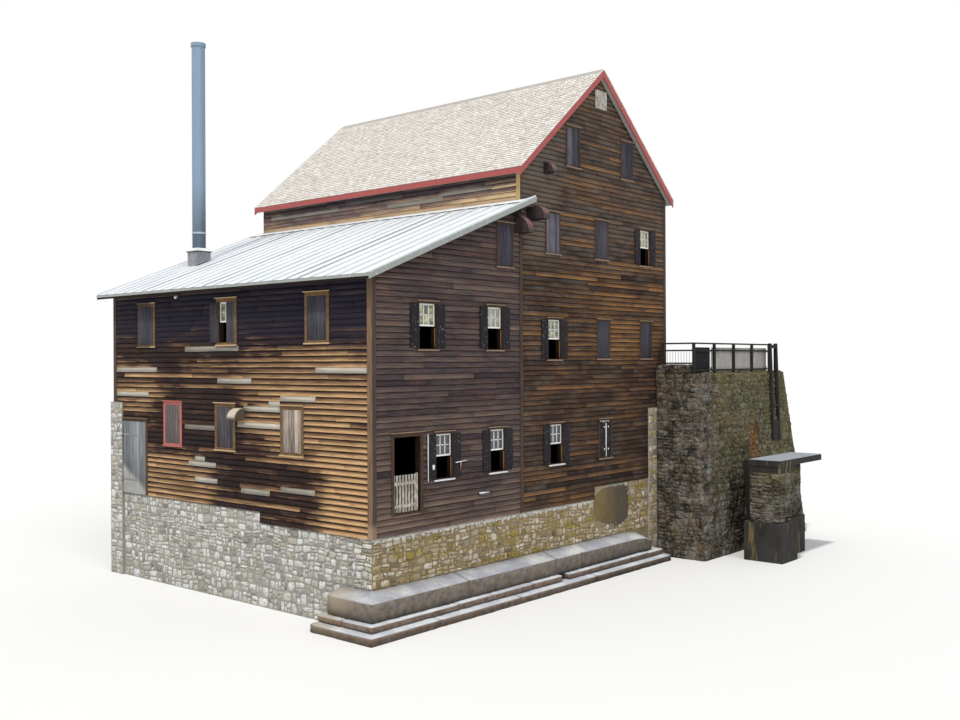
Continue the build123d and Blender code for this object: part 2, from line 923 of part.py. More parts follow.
def raised_sash(width, height):
    """The frame and pane that fill the upper half of a window."""
    y, r = sash_set_back, sash_rail
    z0 = height / 2
    frame = block(seat, width - seat, y, y + sash_t, z0, height - seat)
    frame -= block(r, width - r, y - 10, y + sash_t + 10, z0 + r, height - r)
    pane = block(
        r + seat, width - r - seat, y + 15, y + 15 + glass_t, z0 + r + seat, height - r - seat
    )
    return frame, pane


def full_sash(width, height):
    """A sash over the whole window, with a middle stile."""
    y, r = sash_set_back, sash_rail
    frame = block(seat, width - seat, y, y + sash_t, seat, height - seat)
    for x0 in (r, (width + r) / 2):
        frame -= block(x0, x0 + (width - 3 * r) / 2, y - 10, y + sash_t + 10, r, height - r)
    return frame


def build_windows():
    w, h = window_width, window_height
    casings, shutters, sashes, panes = [], [], [], []
    lap = casing_t + seat
    for k, (x, sill, is_open) in enumerate(front_windows):
        place = face_front(x - w / 2, sill)
        casings.append(place * casing(w, h, casing_width))
        if is_open:
            leaf = block(0, w / 2, -lap - shutter_t, -lap, 0, h)
            shutters.append(place * Pos(-w / 2 - shutter_back, 0, 0) * leaf)
            shutters.append(place * Pos(w + shutter_back, 0, 0) * leaf)
            frame, pane = raised_sash(w, h)
            sashes.append(place * frame)
            panes.append(place * pane)
        elif k == parted_window:
            leaf_w = (w - parted_gap) / 2 - seat
            for x0 in (seat, w - seat - leaf_w):
                shutters.append(place * block(x0, x0 + leaf_w, -shutter_t, 0, seat, h - parted_drop))
            sashes.append(place * full_sash(w, h))
        else:
            for leaf in closed_shutters(w - 2 * seat, h - 2 * seat, 0):
                shutters.append(place * Pos(seat, 0, seat) * leaf)

    w, h = left_window_width, left_window_height
    for k, (y, sill) in enumerate(left_windows):
        place = face_left(y + w / 2, sill)
        casings.append(place * casing(w, h, left_casing_width))
        pair = closed_shutters(w - 2 * seat, h - 2 * seat, 0)
        pair = [Pos(seat, 0, seat) * leaf for leaf in pair]
        if k == half_open_left:
            leaf_w = (w - 2 * seat - shutter_gap) / 2
            folded = block(0, leaf_w, -lap - shutter_t, -lap, seat, h - seat)
            pair[0] = Pos(-leaf_w - shutter_back, 0, 0) * folded
            frame, pane = raised_sash(w, h)
            sashes.append(place * frame)
            panes.append(place * pane)
        shutters += [place * leaf for leaf in pair]

    w, h = window_width, window_height
    places = [face_back(x + w / 2, sill, depth) for x, sill in back_windows]
    places += [face_back(x + w / 2, sill, depth + wall_t) for x, sill in back_stone_windows]
    places += [face_right(y - w / 2, sill) for y, sill in right_windows]
    for place in places:
        casings.append(place * casing(w, h, casing_width))
        for leaf in closed_shutters(w - 2 * seat, h - 2 * seat, 0):
            shutters.append(place * Pos(seat, 0, seat) * leaf)
    save("window_casings", *casings)
    save("window_shutters", *shutters)
    save("sashes", *sashes)
    save("sash_glass", *panes)

    w, h = attic_width, attic_height
    vents = []
    for place in (face_front(attic_x - w / 2, attic_sill), face_back(attic_x + w / 2, attic_sill, depth)):
        vents.append(place * block(seat, w - seat, -25, 25, seat, h - seat))
    save("attic_shutters", *vents)


# Doors


def build_doorways():
    w, h = doorway_width, doorway_height
    ring = block(-110, w + 110, -casing_t, 0, -40, h + 110) - block(0, w, -casing_t - 10, 10, 0, h)
    ring += block(-150, w + 150, -drip_proud, 0, h + 110, h + 110 + drip_t)
    front = Pos(doorway_left, 0, up(doorway_sill)) * ring
    w, h = side_door_width, side_door_height
    y1 = side_door_from + side_door_width
    far_casing = depth + stone_inset - stone_t - seat - y1
    ring = block(-far_casing, w + 110, -casing_t, 0, 0, h + 90) - block(0, w, -casing_t - 10, 10, -10, h)
    ring += block(-far_casing, w + 140, -drip_proud, 0, h + 90, h + 90 + drip_t)
    ring += block(-far_casing, 0, 0, wall_t, 0, h)
    side = Pos(0, y1, up(side_door_bottom)) * Rot(0, 0, -90) * ring
    save("door_frames", front, side)


def gate_hinge():
    """Axis of the picket gate: beside the left jamb and behind the gate."""
    return doorway_left + gate_eye_r + 1, gate_face + gate_t + gate_eye_r


def side_hinge():
    """Axis of the plank door: in front of its far edge."""
    return -casing_t - 5 - side_eye_r, side_door_from + side_door_width


def gate_rails():
    """Undersides of the gate's two rails."""
    foot = up(doorway_sill) + gate_lift
    return [foot + height for height in gate_rail_heights]


def build_picket_gate():
    """A low gate of flat pickets behind two rails, hung on the doorway's left side."""
    x0 = doorway_left + gate_clearance
    x_end = x0 + doorway_width - 2 * gate_clearance - gate_latch_gap
    z0 = up(doorway_sill) + gate_lift
    y0, y1 = gate_face, gate_face + gate_t
    front = y0 + gate_rail_t
    back = front + picket_t
    gate = block(x0, x0 + gate_post, back, y1, z0, z0 + gate_height - gate_stile_below)
    for z in gate_rails():
        gate += block(x0, x_end, y0, front, z, z + gate_rail)
        gate += block(x0, x0 + gate_strap_length, back, y1, z, z + gate_rail)
    pitch = (x_end - x0 - picket_width) / (picket_count - 1)
    for k in range(picket_count):
        x = x0 + k * pitch
        gate += block(x, x + picket_width, front, back, z0, z0 + gate_height)
    gate += block(x_end, x_end + gate_post, y0, y1, z0, z0 + gate_height + gate_post_above)
    x_pin, y_pin = gate_hinge()
    for z in gate_rails():
        z_strap = z + (gate_rail - gate_strap_height) / 2
        gate += block(x_pin, x0 + gate_strap_length, y1, y1 + gate_strap_t, z_strap, z_strap + gate_strap_height)
        gate += Pos(x_pin, y_pin, z_strap + gate_strap_height / 2) * Cylinder(gate_eye_r, gate_strap_height)
    for z in gate_rails():
        gate -= Pos(x_pin, y_pin, z + gate_rail / 2) * Cylinder(gate_pin_r + pin_clearance, gate_rail * 2)
    save("picket_gate", gate)


def build_side_door():
    """A plank leaf with two straps, rolled into eyes beyond its far edge."""
    x_pin, y_pin = side_hinge()
    x_out = x_pin + side_eye_r
    leaf = block(
        x_out,
        x_out + side_door_t,
        side_door_from + side_door_clearance,
        y_pin - side_door_clearance,
        up(side_door_bottom) + side_door_clearance,
        up(side_door_bottom + side_door_height) - side_door_clearance,
    )
    for height in side_hinge_heights:
        z = up(side_door_bottom) + height
        leaf += block(x_out - side_strap_t, x_out, y_pin - side_strap_length, y_pin, z, z + side_strap_height)
        leaf += Pos(x_pin, y_pin, z + side_strap_height / 2) * Cylinder(side_eye_r, side_strap_height)
    for height in side_hinge_heights:
        z = up(side_door_bottom) + height
        leaf -= Pos(x_pin, y_pin, z) * Cylinder(side_pin_r + pin_clearance, side_strap_height * 4)
    save("side_door", leaf)


def build_hinge_pins():
    """Pins on brackets, fixed to the jambs below each eye."""
    pins = []
    x_pin, y_pin = side_hinge()
    for height in side_hinge_heights:
        z = up(side_door_bottom) + height
        pin = Pos(x_pin, y_pin, z + 20) * Cylinder(side_pin_r, side_strap_height + 60)
        plate_x = -casing_t - seat
        pin += block(x_pin - side_pin_r, plate_x, y_pin, y_pin + 28, z - 45, z - 6)
        pins.append(pin)
    x_pin, y_pin = gate_hinge()
    for z in gate_rails():
        z_strap = z + (gate_rail - gate_strap_height) / 2
        pin = Pos(x_pin, y_pin, z_strap + 10) * Cylinder(gate_pin_r, gate_strap_height + 40)
        pin += block(doorway_left, x_pin, y_pin - gate_pin_r, y_pin + 40, z_strap - 30, z_strap - 4)
        pins.append(pin)
    save("hinge_pins", *pins)


# Metalwork


def hood_profile(reach, radius, drop):
    """Out from the wall at the top, round a quarter turn and down to the lip; local x is outwards."""
    middle = (reach - radius, -radius)
    bend = math.sqrt(0.5) * radius
    lines = [
        Line((0, -drop), (0, 0)),
        Line((0, 0), (reach - radius, 0)),
        ThreePointArc((reach - radius, 0), (middle[0] + bend, middle[1] + bend), (reach, -radius)),
        Line((reach, -drop), (0, -drop)),
    ]
    if drop > radius:
        lines.append(Line((reach, -radius), (reach, -drop)))
    return make_face(lines)


def dust_hood(reach, radius, drop, width):
    """A bent sheet with closed cheeks, open below, facing -Y from the wall at the origin."""
    face_plane = Plane(origin=(0, 0, 0), x_dir=(0, -1, 0), z_dir=(-1, 0, 0))
    outer = extrude(face_plane * hood_profile(reach, radius, drop), amount=width, dir=(1, 0, 0))
    t = hood_t
    hollow = face_plane * hood_profile(reach - t, radius - t, drop)
    inner = extrude(hollow, amount=width - 2 * t, dir=(1, 0, 0))
    return outer - Pos(t, 0, -t) * inner


def build_hoods():
    hoods = []
    for from_seam, top, reach, radius, drop, width in front_hoods:
        hoods.append(Pos(main_left + from_seam, -seat, up(top)) * dust_hood(reach, radius, drop, width))
    share, top, reach, radius, drop, width = left_hood
    hood = Rot(0, 0, -90) * dust_hood(reach, radius, drop, width)
    hoods.append(Pos(-seat, share * depth + width, up(top)) * hood)
    save("dust_hoods", *hoods)


def build_stack():
    """The stack stands on the low hipped cap of a sheet metal curb."""
    roof = lean_under(stack_x) + lean_deck_t / lean_cos
    edge = roof + curb_height
    base = edge + curb_edge + curb_rise
    top = up(stack_top)
    tube = Pos(stack_x, stack_y, (base + top) / 2) * Cylinder(stack_d / 2, top - base)
    tube += Pos(stack_x, stack_y, top - stack_cap_height / 2) * Cylinder(stack_cap_d / 2, stack_cap_height)
    tube += Pos(stack_x, stack_y, base + stack_band_at) * Cylinder(stack_d / 2 + 14, stack_band_height)
    tube -= Pos(stack_x, stack_y, (base + top) / 2) * Cylinder(stack_d / 2 - stack_wall, top - base + 20)
    save("smoke_stack", tube)
    half = curb_size / 2
    gap = (metal_t + rib_height) / lean_cos + 3 * seat
    curb = front_plate(
        [
            (stack_x - half, roof + gap - lean_slope * half),
            (stack_x + half, roof + gap + lean_slope * half),
            (stack_x + half, edge),
            (stack_x - half, edge),
        ],
        stack_y - half,
        stack_y + half,
    )
    rim = curb_size + 2 * curb_overhang
    curb += Pos(stack_x, stack_y, edge + curb_edge / 2) * Box(rim, rim, curb_edge)
    foot = Pos(stack_x, stack_y, edge + curb_edge) * Rectangle(rim, rim)
    head = Pos(stack_x, stack_y, base - seat) * Rectangle(stack_d, stack_d)
    curb += loft([foot.face(), head.face()], ruled=True)
    save("stack_curb", curb)


build_foundations()
build_stone_walls()
build_skirt()
build_slabs()
build_abutment()
build_pier()
build_sluice()
build_head_gate()
build_railing()
build_floors()
build_left_wall()
build_front_walls()
build_back_wall()
build_side_walls()
build_main_roof()
build_main_trim()
build_lean_roof()
build_corner_boards()
build_windows()
build_doorways()
build_picket_gate()
build_side_door()
build_hinge_pins()
build_hoods()
build_stack()
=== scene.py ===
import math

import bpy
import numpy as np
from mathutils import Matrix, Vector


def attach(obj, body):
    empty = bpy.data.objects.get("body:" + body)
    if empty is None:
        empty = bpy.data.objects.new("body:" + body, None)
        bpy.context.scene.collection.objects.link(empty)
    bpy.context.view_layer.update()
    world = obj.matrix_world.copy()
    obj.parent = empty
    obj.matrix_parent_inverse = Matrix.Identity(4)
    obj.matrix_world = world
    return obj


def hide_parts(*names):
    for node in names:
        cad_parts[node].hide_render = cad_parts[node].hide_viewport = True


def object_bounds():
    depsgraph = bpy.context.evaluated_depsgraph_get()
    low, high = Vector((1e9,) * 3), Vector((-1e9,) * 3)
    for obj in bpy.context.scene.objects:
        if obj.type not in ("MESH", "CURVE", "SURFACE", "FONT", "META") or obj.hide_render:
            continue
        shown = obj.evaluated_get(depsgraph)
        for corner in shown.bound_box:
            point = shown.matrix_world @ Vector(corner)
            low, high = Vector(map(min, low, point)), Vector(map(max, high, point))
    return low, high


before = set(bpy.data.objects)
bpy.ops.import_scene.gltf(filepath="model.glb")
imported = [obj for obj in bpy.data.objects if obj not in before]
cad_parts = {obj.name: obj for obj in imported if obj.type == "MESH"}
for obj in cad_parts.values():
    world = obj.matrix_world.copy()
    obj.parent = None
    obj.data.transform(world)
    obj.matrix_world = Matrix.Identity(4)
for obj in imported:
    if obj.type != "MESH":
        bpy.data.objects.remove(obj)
cad_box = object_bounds()

# %% [markdown]
# # A clapboard grist mill
# The CAD model gives the walls, roofs, foundations and doors as solids. This lesson dresses them: it lays
# real boards, shingles and stones over the plain faces, and gives every surface a finish made of nodes.
# Everything is in metres. X runs along the front, Y back along the left wall, Z up, and the boarding
# starts 2.6 m above the bottom of the footings.

FOOT = 2.6                     # bottom of the boarding
GROUND = -FOOT                 # bottom of the footings, where heights count from the boarding
LEAN, TOTAL, DEPTH = 6.7, 15.85, 13.4     # seam of the two blocks, right corner and back wall
MAIN_WIDE = TOTAL - LEAN
LEAN_EAVE, LEAN_SLOPE = 7.41, math.tan(math.radians(21.45))
MAIN_PITCH = math.radians(40.5)
MAIN_EAVE, MAIN_SLOPE = 11.27, math.tan(MAIN_PITCH)
MAIN_MID = (LEAN + TOTAL) / 2
chance = np.random.default_rng(41)
print("levels: lean-to eave %.2f m, main eave %.2f m" % (FOOT + LEAN_EAVE, FOOT + MAIN_EAVE))

# %% [markdown]
# ## The camera
# The photograph was taken from the front left, almost level. Its place and turn were worked out from
# upright and level lines of the building, so the render can be laid over the photograph. A camera in
# Blender looks along its own -Z axis, so the matrix has the right, up and backward directions as columns.

# %% Camera
from mathutils import Matrix, Vector

YAW, PITCH, ROLL = (math.radians(a) for a in (40.53, 0.05, -0.26))
FOCAL_PIXELS, IMAGE_WIDTH, SENSOR = 1040.3, 960, 36.0
CAMERA_AT, CLIP_END = (-19.995, -21.063, 7.565), 500
ahead = Vector((math.cos(YAW) * math.cos(PITCH), math.sin(YAW) * math.cos(PITCH), math.sin(PITCH)))
level = Vector((math.sin(YAW), -math.cos(YAW), 0.0))
upward = level.cross(ahead)
right = level * math.cos(ROLL) + upward * math.sin(ROLL)
upward = upward * math.cos(ROLL) - level * math.sin(ROLL)
camera = bpy.data.objects.new("camera", bpy.data.cameras.new("camera"))
camera.data.sensor_width = SENSOR
camera.data.lens = FOCAL_PIXELS / IMAGE_WIDTH * SENSOR
camera.data.clip_end = CLIP_END
place = Matrix((right, upward, -ahead)).transposed().to_4x4()
place.translation = Vector(CAMERA_AT)
camera.matrix_world = place
bpy.context.scene.collection.objects.link(camera)
bpy.context.scene.camera = camera
print("lens %.1f mm" % camera.data.lens)

# %% [markdown]
# ## Shader maths as formulas
# A material is a graph of nodes, which is slow to read as code. This class wraps one socket, so that
# `1 - mask * 0.5` adds the Math nodes by itself. Colours are mixed by `blend`, because a Math node would
# turn them grey. Any other node comes from `add`, which takes its settings first and then its inputs.

# %% A wire and a finish
class Wire:
    """One output socket. Arithmetic on it adds Math nodes."""

    def __init__(self, finish, socket):
        self.finish, self.socket = finish, socket

    def maths(self, operation, other, swapped=False):
        pair = (other, self) if swapped else (self, other)
        return self.finish.add("ShaderNodeMath", {"operation": operation}, {0: pair[0], 1: pair[1]})

    def __add__(self, other):
        return self.maths("ADD", other)

    def __sub__(self, other):
        return self.maths("SUBTRACT", other)

    def __rsub__(self, other):
        return self.maths("SUBTRACT", other, True)

    def __mul__(self, other):
        return self.maths("MULTIPLY", other)

    def __gt__(self, other):
        return self.maths("GREATER_THAN", other)

    def __lt__(self, other):
        return self.maths("LESS_THAN", other)

    __radd__, __rmul__ = __add__, __mul__

    def between(self, low, high):
        """0 at low, 1 at high, and held there beyond them."""
        return self.finish.add("ShaderNodeMapRange", {}, {"Value": self, "From Min": low, "From Max": high})

    def smooth(self, low, high):
        """As between, with soft ends."""
        return self.finish.add("ShaderNodeMapRange", {"interpolation_type": "SMOOTHSTEP"},
                               {"Value": self, "From Min": low, "From Max": high})


class Finish:
    """A material with one Principled shader, and short names for the nodes used here."""

    def __init__(self, name, roughness=0.8, **constants):
        self.material = bpy.data.materials.new(name)
        self.material.use_nodes = True
        self.tree = self.material.node_tree
        self.tree.nodes.clear()
        self.shader = self.tree.nodes.new("ShaderNodeBsdfPrincipled")
        out = self.tree.nodes.new("ShaderNodeOutputMaterial")
        self.tree.links.new(self.shader.outputs[0], out.inputs[0])
        self.shader.inputs["Roughness"].default_value = roughness
        self.shader.inputs["Specular IOR Level"].default_value = 0.5 if roughness < 0.65 else 0.15
        for key, value in constants.items():
            self.shader.inputs[key.replace("_", " ")].default_value = value

    def add(self, kind, settings=None, values=None, out=0):
        node = self.tree.nodes.new(kind)
        for key, value in (settings or {}).items():
            setattr(node, key, value)
        for key, value in (values or {}).items():
            if isinstance(value, Wire):
                self.tree.links.new(value.socket, node.inputs[key])
            else:
                node.inputs[key].default_value = value
        return Wire(self, node.outputs[out])

    def where(self, stretch=(1, 1, 1)):
        """Object coordinates, which are metres of the mill, stretched axis by axis."""
        coords = self.add("ShaderNodeTexCoord", out="Object")
        return self.add("ShaderNodeVectorMath", {"operation": "MULTIPLY"}, {0: coords, 1: stretch})

    def axis(self, name):
        """Metres along X, Y or Z."""
        return self.add("ShaderNodeSeparateXYZ", {}, {0: self.where()}, out=name)

    def marks(self, name):
        """A mesh attribute of three numbers, as its X, Y and Z wires and the whole vector."""
        whole = self.add("ShaderNodeAttribute", {"attribute_name": name}, out="Vector")
        return [self.add("ShaderNodeSeparateXYZ", {}, {0: whole}, out=k) for k in "XYZ"], whole

    def noise(self, scale, where=None, stretch=(1, 1, 1), detail=3.0, roughness=0.55):
        place = self.where(stretch) if where is None else self.add(
            "ShaderNodeVectorMath", {"operation": "MULTIPLY"}, {0: where, 1: stretch})
        return self.add("ShaderNodeTexNoise", {}, {
            "Vector": place, "Scale": scale, "Detail": detail, "Roughness": roughness})

    def blend(self, factor, a, b):
        """Colour a where the factor is 0, b where it is 1."""
        a, b = (c if isinstance(c, Wire) else (*c, 1) for c in (a, b))
        return self.add("ShaderNodeMix", {"data_type": "RGBA"}, {0: factor, 6: a, 7: b}, out=2)

    def shade(self, colour, factor):
        """A colour darkened or lightened by a number."""
        return self.add("ShaderNodeVectorMath", {"operation": "SCALE"}, {0: colour, "Scale": factor})

    def done(self, colour, roughness=None, height=None, depth=0.003, metallic=None):
        """Joins what was worked out to the shader. The height is in parts of depth, in metres."""
        if not isinstance(colour, Wire):
            self.shader.inputs["Base Color"].default_value = (*colour, 1)
        else:
            self.tree.links.new(colour.socket, self.shader.inputs["Base Color"])
        for value, key in ((roughness, "Roughness"), (metallic, "Metallic")):
            if value is not None:
                self.tree.links.new(value.socket, self.shader.inputs[key])
        if height is not None:
            bump = self.add("ShaderNodeBump", {}, {"Height": height, "Distance": depth, "Strength": 1.0})
            self.tree.links.new(bump.socket, self.shader.inputs["Normal"])
        return self.material


# %% [markdown]
# ## Meshes as whole arrays
# Most of the mill is bars: a board, a shingle, a picket or a glazing bar is a closed ring of corners that
# is carried through a few stations. One function turns an array of such rings into a mesh, so hundreds of
# boards are one piece. Each corner may carry three marks, such as how far along its board it is.

# %% Arrays into meshes
pieces_made = {}
INSIDE = 0.001                 # new pieces stay this far inside the sides of the CAD model's box


def make_piece(name, points, faces, finish, slot, body="building", marks=None, smooth=False):
    """A mesh from an array of points and arrays of faces with equal numbers of corners. No point may leave
    the box of the CAD model."""
    points = np.clip(points, np.array(cad_box[0]) + (INSIDE, INSIDE, 0.0), np.array(cad_box[1]) - INSIDE)
    mesh = bpy.data.meshes.new(name)
    sizes = np.concatenate([np.full(len(f), f.shape[1]) for f in faces])
    corners = np.concatenate([f.ravel() for f in faces]).astype(np.int32)
    mesh.vertices.add(len(points))
    mesh.vertices.foreach_set("co", np.ascontiguousarray(points, dtype=np.float32).ravel())
    mesh.loops.add(len(corners))
    mesh.loops.foreach_set("vertex_index", corners)
    mesh.polygons.add(len(sizes))
    mesh.polygons.foreach_set("loop_start", np.concatenate([[0], np.cumsum(sizes)[:-1]]).astype(np.int32))
    if smooth:
        mesh.polygons.foreach_set("use_smooth", np.ones(len(sizes), dtype=bool))
    mesh.update(calc_edges=True)
    mesh.validate()
    if marks is not None:
        layer = mesh.attributes.new("marks", "FLOAT_VECTOR", "POINT")
        layer.data.foreach_set("vector", np.ascontiguousarray(marks, dtype=np.float32).ravel())
    piece = bpy.data.objects.new(name, mesh)
    bpy.context.scene.collection.objects.link(piece)
    mesh.materials.append(finish)
    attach(piece, body)
    pieces_made[name] = int((sizes - 2).sum())
    return piece


def bars(name, rings, finish, slot, marks=None, **more):
    """rings[bar, station, corner] are points. Quads join each ring to the next, and a cap closes each end.
    A ring that runs the wrong way round its direction of travel is turned, so every face points outwards."""
    rings = np.asarray(rings, dtype=float)
    count, stations, sides, _ = rings.shape
    first = rings[:, 0]
    area = np.cross(first, np.roll(first, -1, axis=1)).sum(axis=1)
    travel = rings[:, -1].mean(axis=1) - rings[:, 0].mean(axis=1)
    wrong = (area * travel).sum(axis=1) < 0
    rings = rings.copy()
    rings[wrong] = rings[wrong][:, :, ::-1]
    if marks is not None:
        marks = np.array(np.broadcast_to(marks, rings.shape))
        marks[wrong] = marks[wrong][:, :, ::-1]
        marks = marks.reshape(-1, 3)
    index = np.arange(count * stations * sides).reshape(count, stations, sides)
    beside = np.roll(index, -1, axis=2)
    quads = np.stack([index[:, :-1], beside[:, :-1], beside[:, 1:], index[:, 1:]], axis=-1).reshape(-1, 4)
    return make_piece(name, rings.reshape(-1, 3), [quads, index[:, 0, ::-1], index[:, -1]], finish, slot,
                      marks=marks, **more)


def block_rings(low, high, axis=0):
    """Plain blocks from their lowest and highest corners, carried along one axis."""
    low, high = np.atleast_2d(low).astype(float), np.atleast_2d(high).astype(float)
    b, c = [k for k in range(3) if k != axis]
    rings = np.empty((len(low), 2, 4, 3))
    for s, end in enumerate((low, high)):
        rings[:, s, :, axis] = end[:, axis, None]
    for corner, (u, v) in enumerate(((low, low), (high, low), (high, high), (low, high))):
        rings[:, :, corner, b] = u[:, None, b]
        rings[:, :, corner, c] = v[:, None, c]
    return rings


# %% [markdown]
# ## Weathered boards
# The boarding was stained dark long ago. Painted shade darkens each board where the board above laps over
# it, and its lower edge turns orange and straw: bleaching, and on the left wall painted sunlight as well.
# Each board carries marks: metres along it, how far up its face a point is, and its own number. The number
# moves the grain pattern, so no two boards are alike, and its whole part says if the board is an old one or
# a bare replacement.

# %% The finish of the boarding
def board_finish(name, dark, mid, brown, straw, bleach_and_sunlight, hue=(0.5, 0.5, 0.5), painted_eave_shadow=None, patchy=2.5,
                 painted_lap_shade=(0.72, 0.90, 0.70), edge=1.6, hue_where=None):
    """Old boards go from dark to mid by their number and grain. Some are worn to brown, and by a number or a
    formula of the place, 0 to 1 and more or less patchy, their lower edges turn straw. On the left wall that
    formula is painted sunlight and shadow, so there the straw is bleaching and painted sunlight both. Under
    the board above, from a share of their face on, they are darkened with painted shade. Renewed boards are
    bare and silvery, and dimmer where the painted sunlight is low."""
    f = Finish(name, 0.85)
    (_, up, number), whole = f.marks("marks")
    grain = f.noise(1.0, whole, (1.2, 22.0, 37.0), detail=5.0, roughness=0.65)
    fine = f.noise(1.0, whole, (9.0, 160.0, 37.0), detail=3.0, roughness=0.7)
    streak = f.noise(1.0, whole, (1.7, 5.0, 29.0), detail=4.0, roughness=0.7).between(0.30, 0.70)
    patch = f.noise(0.42, stretch=(1, 1, 2.4), detail=3.0)
    broad = f.noise(1.0, whole, (0.9, 3.0, 61.0), detail=4.0, roughness=0.65)
    own = f.noise(1.0, whole, (0.0, 0.0, 43.7), detail=0.0)
    tint = f.noise(1.0, whole, (0.8, 0.0, 17.3), detail=3.0, roughness=0.6)
    lit = bleach_and_sunlight(f) if callable(bleach_and_sunlight) else bleach_and_sunlight
    lower = 1 - up.between(0.05, 1.0)
    spread = own * 0.70 + broad * 0.50 + patch * 0.30 - 0.75
    worn = (lit * 0.7 + spread * 2.0 + lower * 0.36).between(0.0, 1.0)
    amount = (lit + spread * patchy).between(0.0, 1.0)
    # straw lower edges: bleaching, and painted sunlight where the sun formula is high
    straw_and_sunlight = (amount * (0.07 + lower * lower * lower * edge)).between(0.0, 1.0)
    colour = f.blend((own * 0.9 + streak * 0.7 - 0.45).between(0, 1), dark, mid)
    weathered = 0.0 if hue_where is None else hue_where(f)
    hued = (tint * 4.0 - 1.9 + weathered).between(0, 1) * 0.6 + weathered * 0.3
    colour = f.blend(hued.between(0, 1), colour, hue)
    colour = f.blend(worn * (0.35 + streak * 0.65), colour, brown)
    colour = f.blend((straw_and_sunlight * (grain * 1.3 + streak * 0.6)).between(0, 1), colour, straw)
    # painted shade under the lap of the board above
    lap_shadow = up.between(*painted_lap_shade[:2])
    bare = number > 0.999
    silver = f.blend((grain * 1.7 - 0.35).between(0, 1), (0.24, 0.215, 0.175), (0.80, 0.74, 0.64))
    # bare boards are dimmed by the same painted sunlight and shadow
    silver = f.shade(silver, (spread * 0.5 + lit * 0.7 + 0.56).between(0.38, 1.0) * 0.6 + 0.4)
    colour = f.blend(bare, f.shade(colour, 1 - lap_shadow * painted_lap_shade[2]), silver)
    speckle = 0.50 + grain * 0.50 + fine * 0.50
    if painted_eave_shadow is not None:
        # painted shadow: blue-black boards where an eave's shadow falls
        colour = f.blend(painted_eave_shadow(f), colour, f.blend(grain, (0.007, 0.006, 0.012), (0.025, 0.021, 0.038)))
    return f.done(f.shade(colour, speckle), 0.72 + grain * 0.22, height=grain * 0.7 + fine * 0.3, depth=0.006)


def left_painted_sun(f):
    """Painted sunlight and shadow on the left wall: sunlit patches beside the corner, in its middle heights
    and low down near the back. A painted shadow band slants between them, with a dim painted glow above it."""
    y, z = f.axis("Y"), f.axis("Z") - FOOT
    ragged = f.noise(0.8, stretch=(1, 1, 1.6), detail=4.0) * 1.6 - 0.8
    beside, along = y + ragged, z + ragged * 0.5
    middle = (1 - beside.smooth(4.4, 6.6)) * (along - beside * 0.16).smooth(1.3, 2.3)
    middle = middle * (1 - along.smooth(5.0, 5.8))
    corner = (1 - beside.smooth(1.4, 2.8)) * (1 - along.smooth(1.6, 2.8)) * 1.1
    back = beside.smooth(6.6, 8.6) * (1 - along.smooth(1.4, 2.6)) * 0.60
    far = beside.smooth(9.4, 11.0) * along.smooth(2.6, 3.2) * (1 - along.smooth(4.4, 5.2)) * 0.45
    band = beside.smooth(5.6, 7.4) * (1 - beside.smooth(10.6, 11.6)) * along.smooth(1.5, 2.4)
    band = band * (1 - (along + beside * 0.16).smooth(4.9, 5.5) * 0.8)
    dim = 1 - along.smooth(3.5, 4.9) * 0.34
    brow = along.smooth(3.9, 4.4) * (1 - along.smooth(4.9, 5.5)) * beside.smooth(4.6, 6.0)
    brow = brow * (1 - beside.smooth(8.6, 9.8)) * 0.22
    lit = middle * 0.56 * dim + corner + back * 0.86 + far * 0.85 + brow
    return lit - band * 0.34 - along.smooth(4.6, 5.4) * 0.06


def left_eave_shadow(f):
    """Where the lean-to's eave casts its painted shadow: high on the left wall the boards are painted nearly
    black.
    """
    y, z = f.axis("Y"), f.axis("Z") - FOOT
    ragged = f.noise(0.7, stretch=(1, 1, 3.0), detail=4.0)
    return (z + y * -0.05 + ragged * 0.9 + (y - 8.5).between(0, 2) * 0.3).smooth(5.45, 6.25) * 0.88


def gable_sun(f):
    """More bleaching towards the right side of the gable, most of all in its middle heights, and very
    little on the rusty brown boards of its lower right part."""
    x, z = f.axis("X"), f.axis("Z") - FOOT
    across = x.smooth(8.0, 12.5)
    middle = z.smooth(4.4, 5.8) * (1 - z.smooth(7.4, 9.2))
    low = (1 - z.smooth(2.6, 4.6)) * x.smooth(9.5, 12.0)
    return across * (0.04 + middle * 0.26) + (1 - z.smooth(0.2, 1.3)) * 0.08 - low * 0.13


def gable_grey(f):
    """The boards near the top and beside the seam are greyer."""
    x, z = f.axis("X"), f.axis("Z") - FOOT
    return z.smooth(7.8, 9.4) * (0.9 - x.smooth(8.0, 9.6) * 0.5) + (1 - x.smooth(7.4, 9.0)) * 0.12


def lean_sun(f):
    """The lean-to's front is browner and paler towards its foot and towards the corner."""
    x, z = f.axis("X"), f.axis("Z") - FOOT
    foot = (1 - z.smooth(0.2, 1.9)) * 0.36
    belt = z.smooth(1.4, 2.4) * (1 - z.smooth(3.2, 4.2)) * 0.14
    return foot + belt + (1 - x.smooth(0.0, 1.2)) * 0.1


def strip_shadow(f):
    """The strip's upper boards get a painted blue-black shadow under the main eave."""
    ragged = f.noise(0.8, stretch=(1, 1, 3.0), detail=3.0)
    return (f.axis("Z") - (FOOT + MAIN_EAVE) + ragged * 0.3).smooth(-0.42, -0.22) * 0.75


def strip_sun(f):
    """Its lowest board is bright, and so are the lowest two beside the front."""
    y, z = f.axis("Y"), f.axis("Z") - (FOOT + LEAN_EAVE + LEAN_SLOPE * LEAN + 0.16)
    lowest = (1 - z.smooth(0.13, 0.19)) * 2.0
    return 0.15 + lowest + (1 - z.smooth(0.30, 0.36)) * (1 - y.smooth(1.5, 3.5)) * 2.0


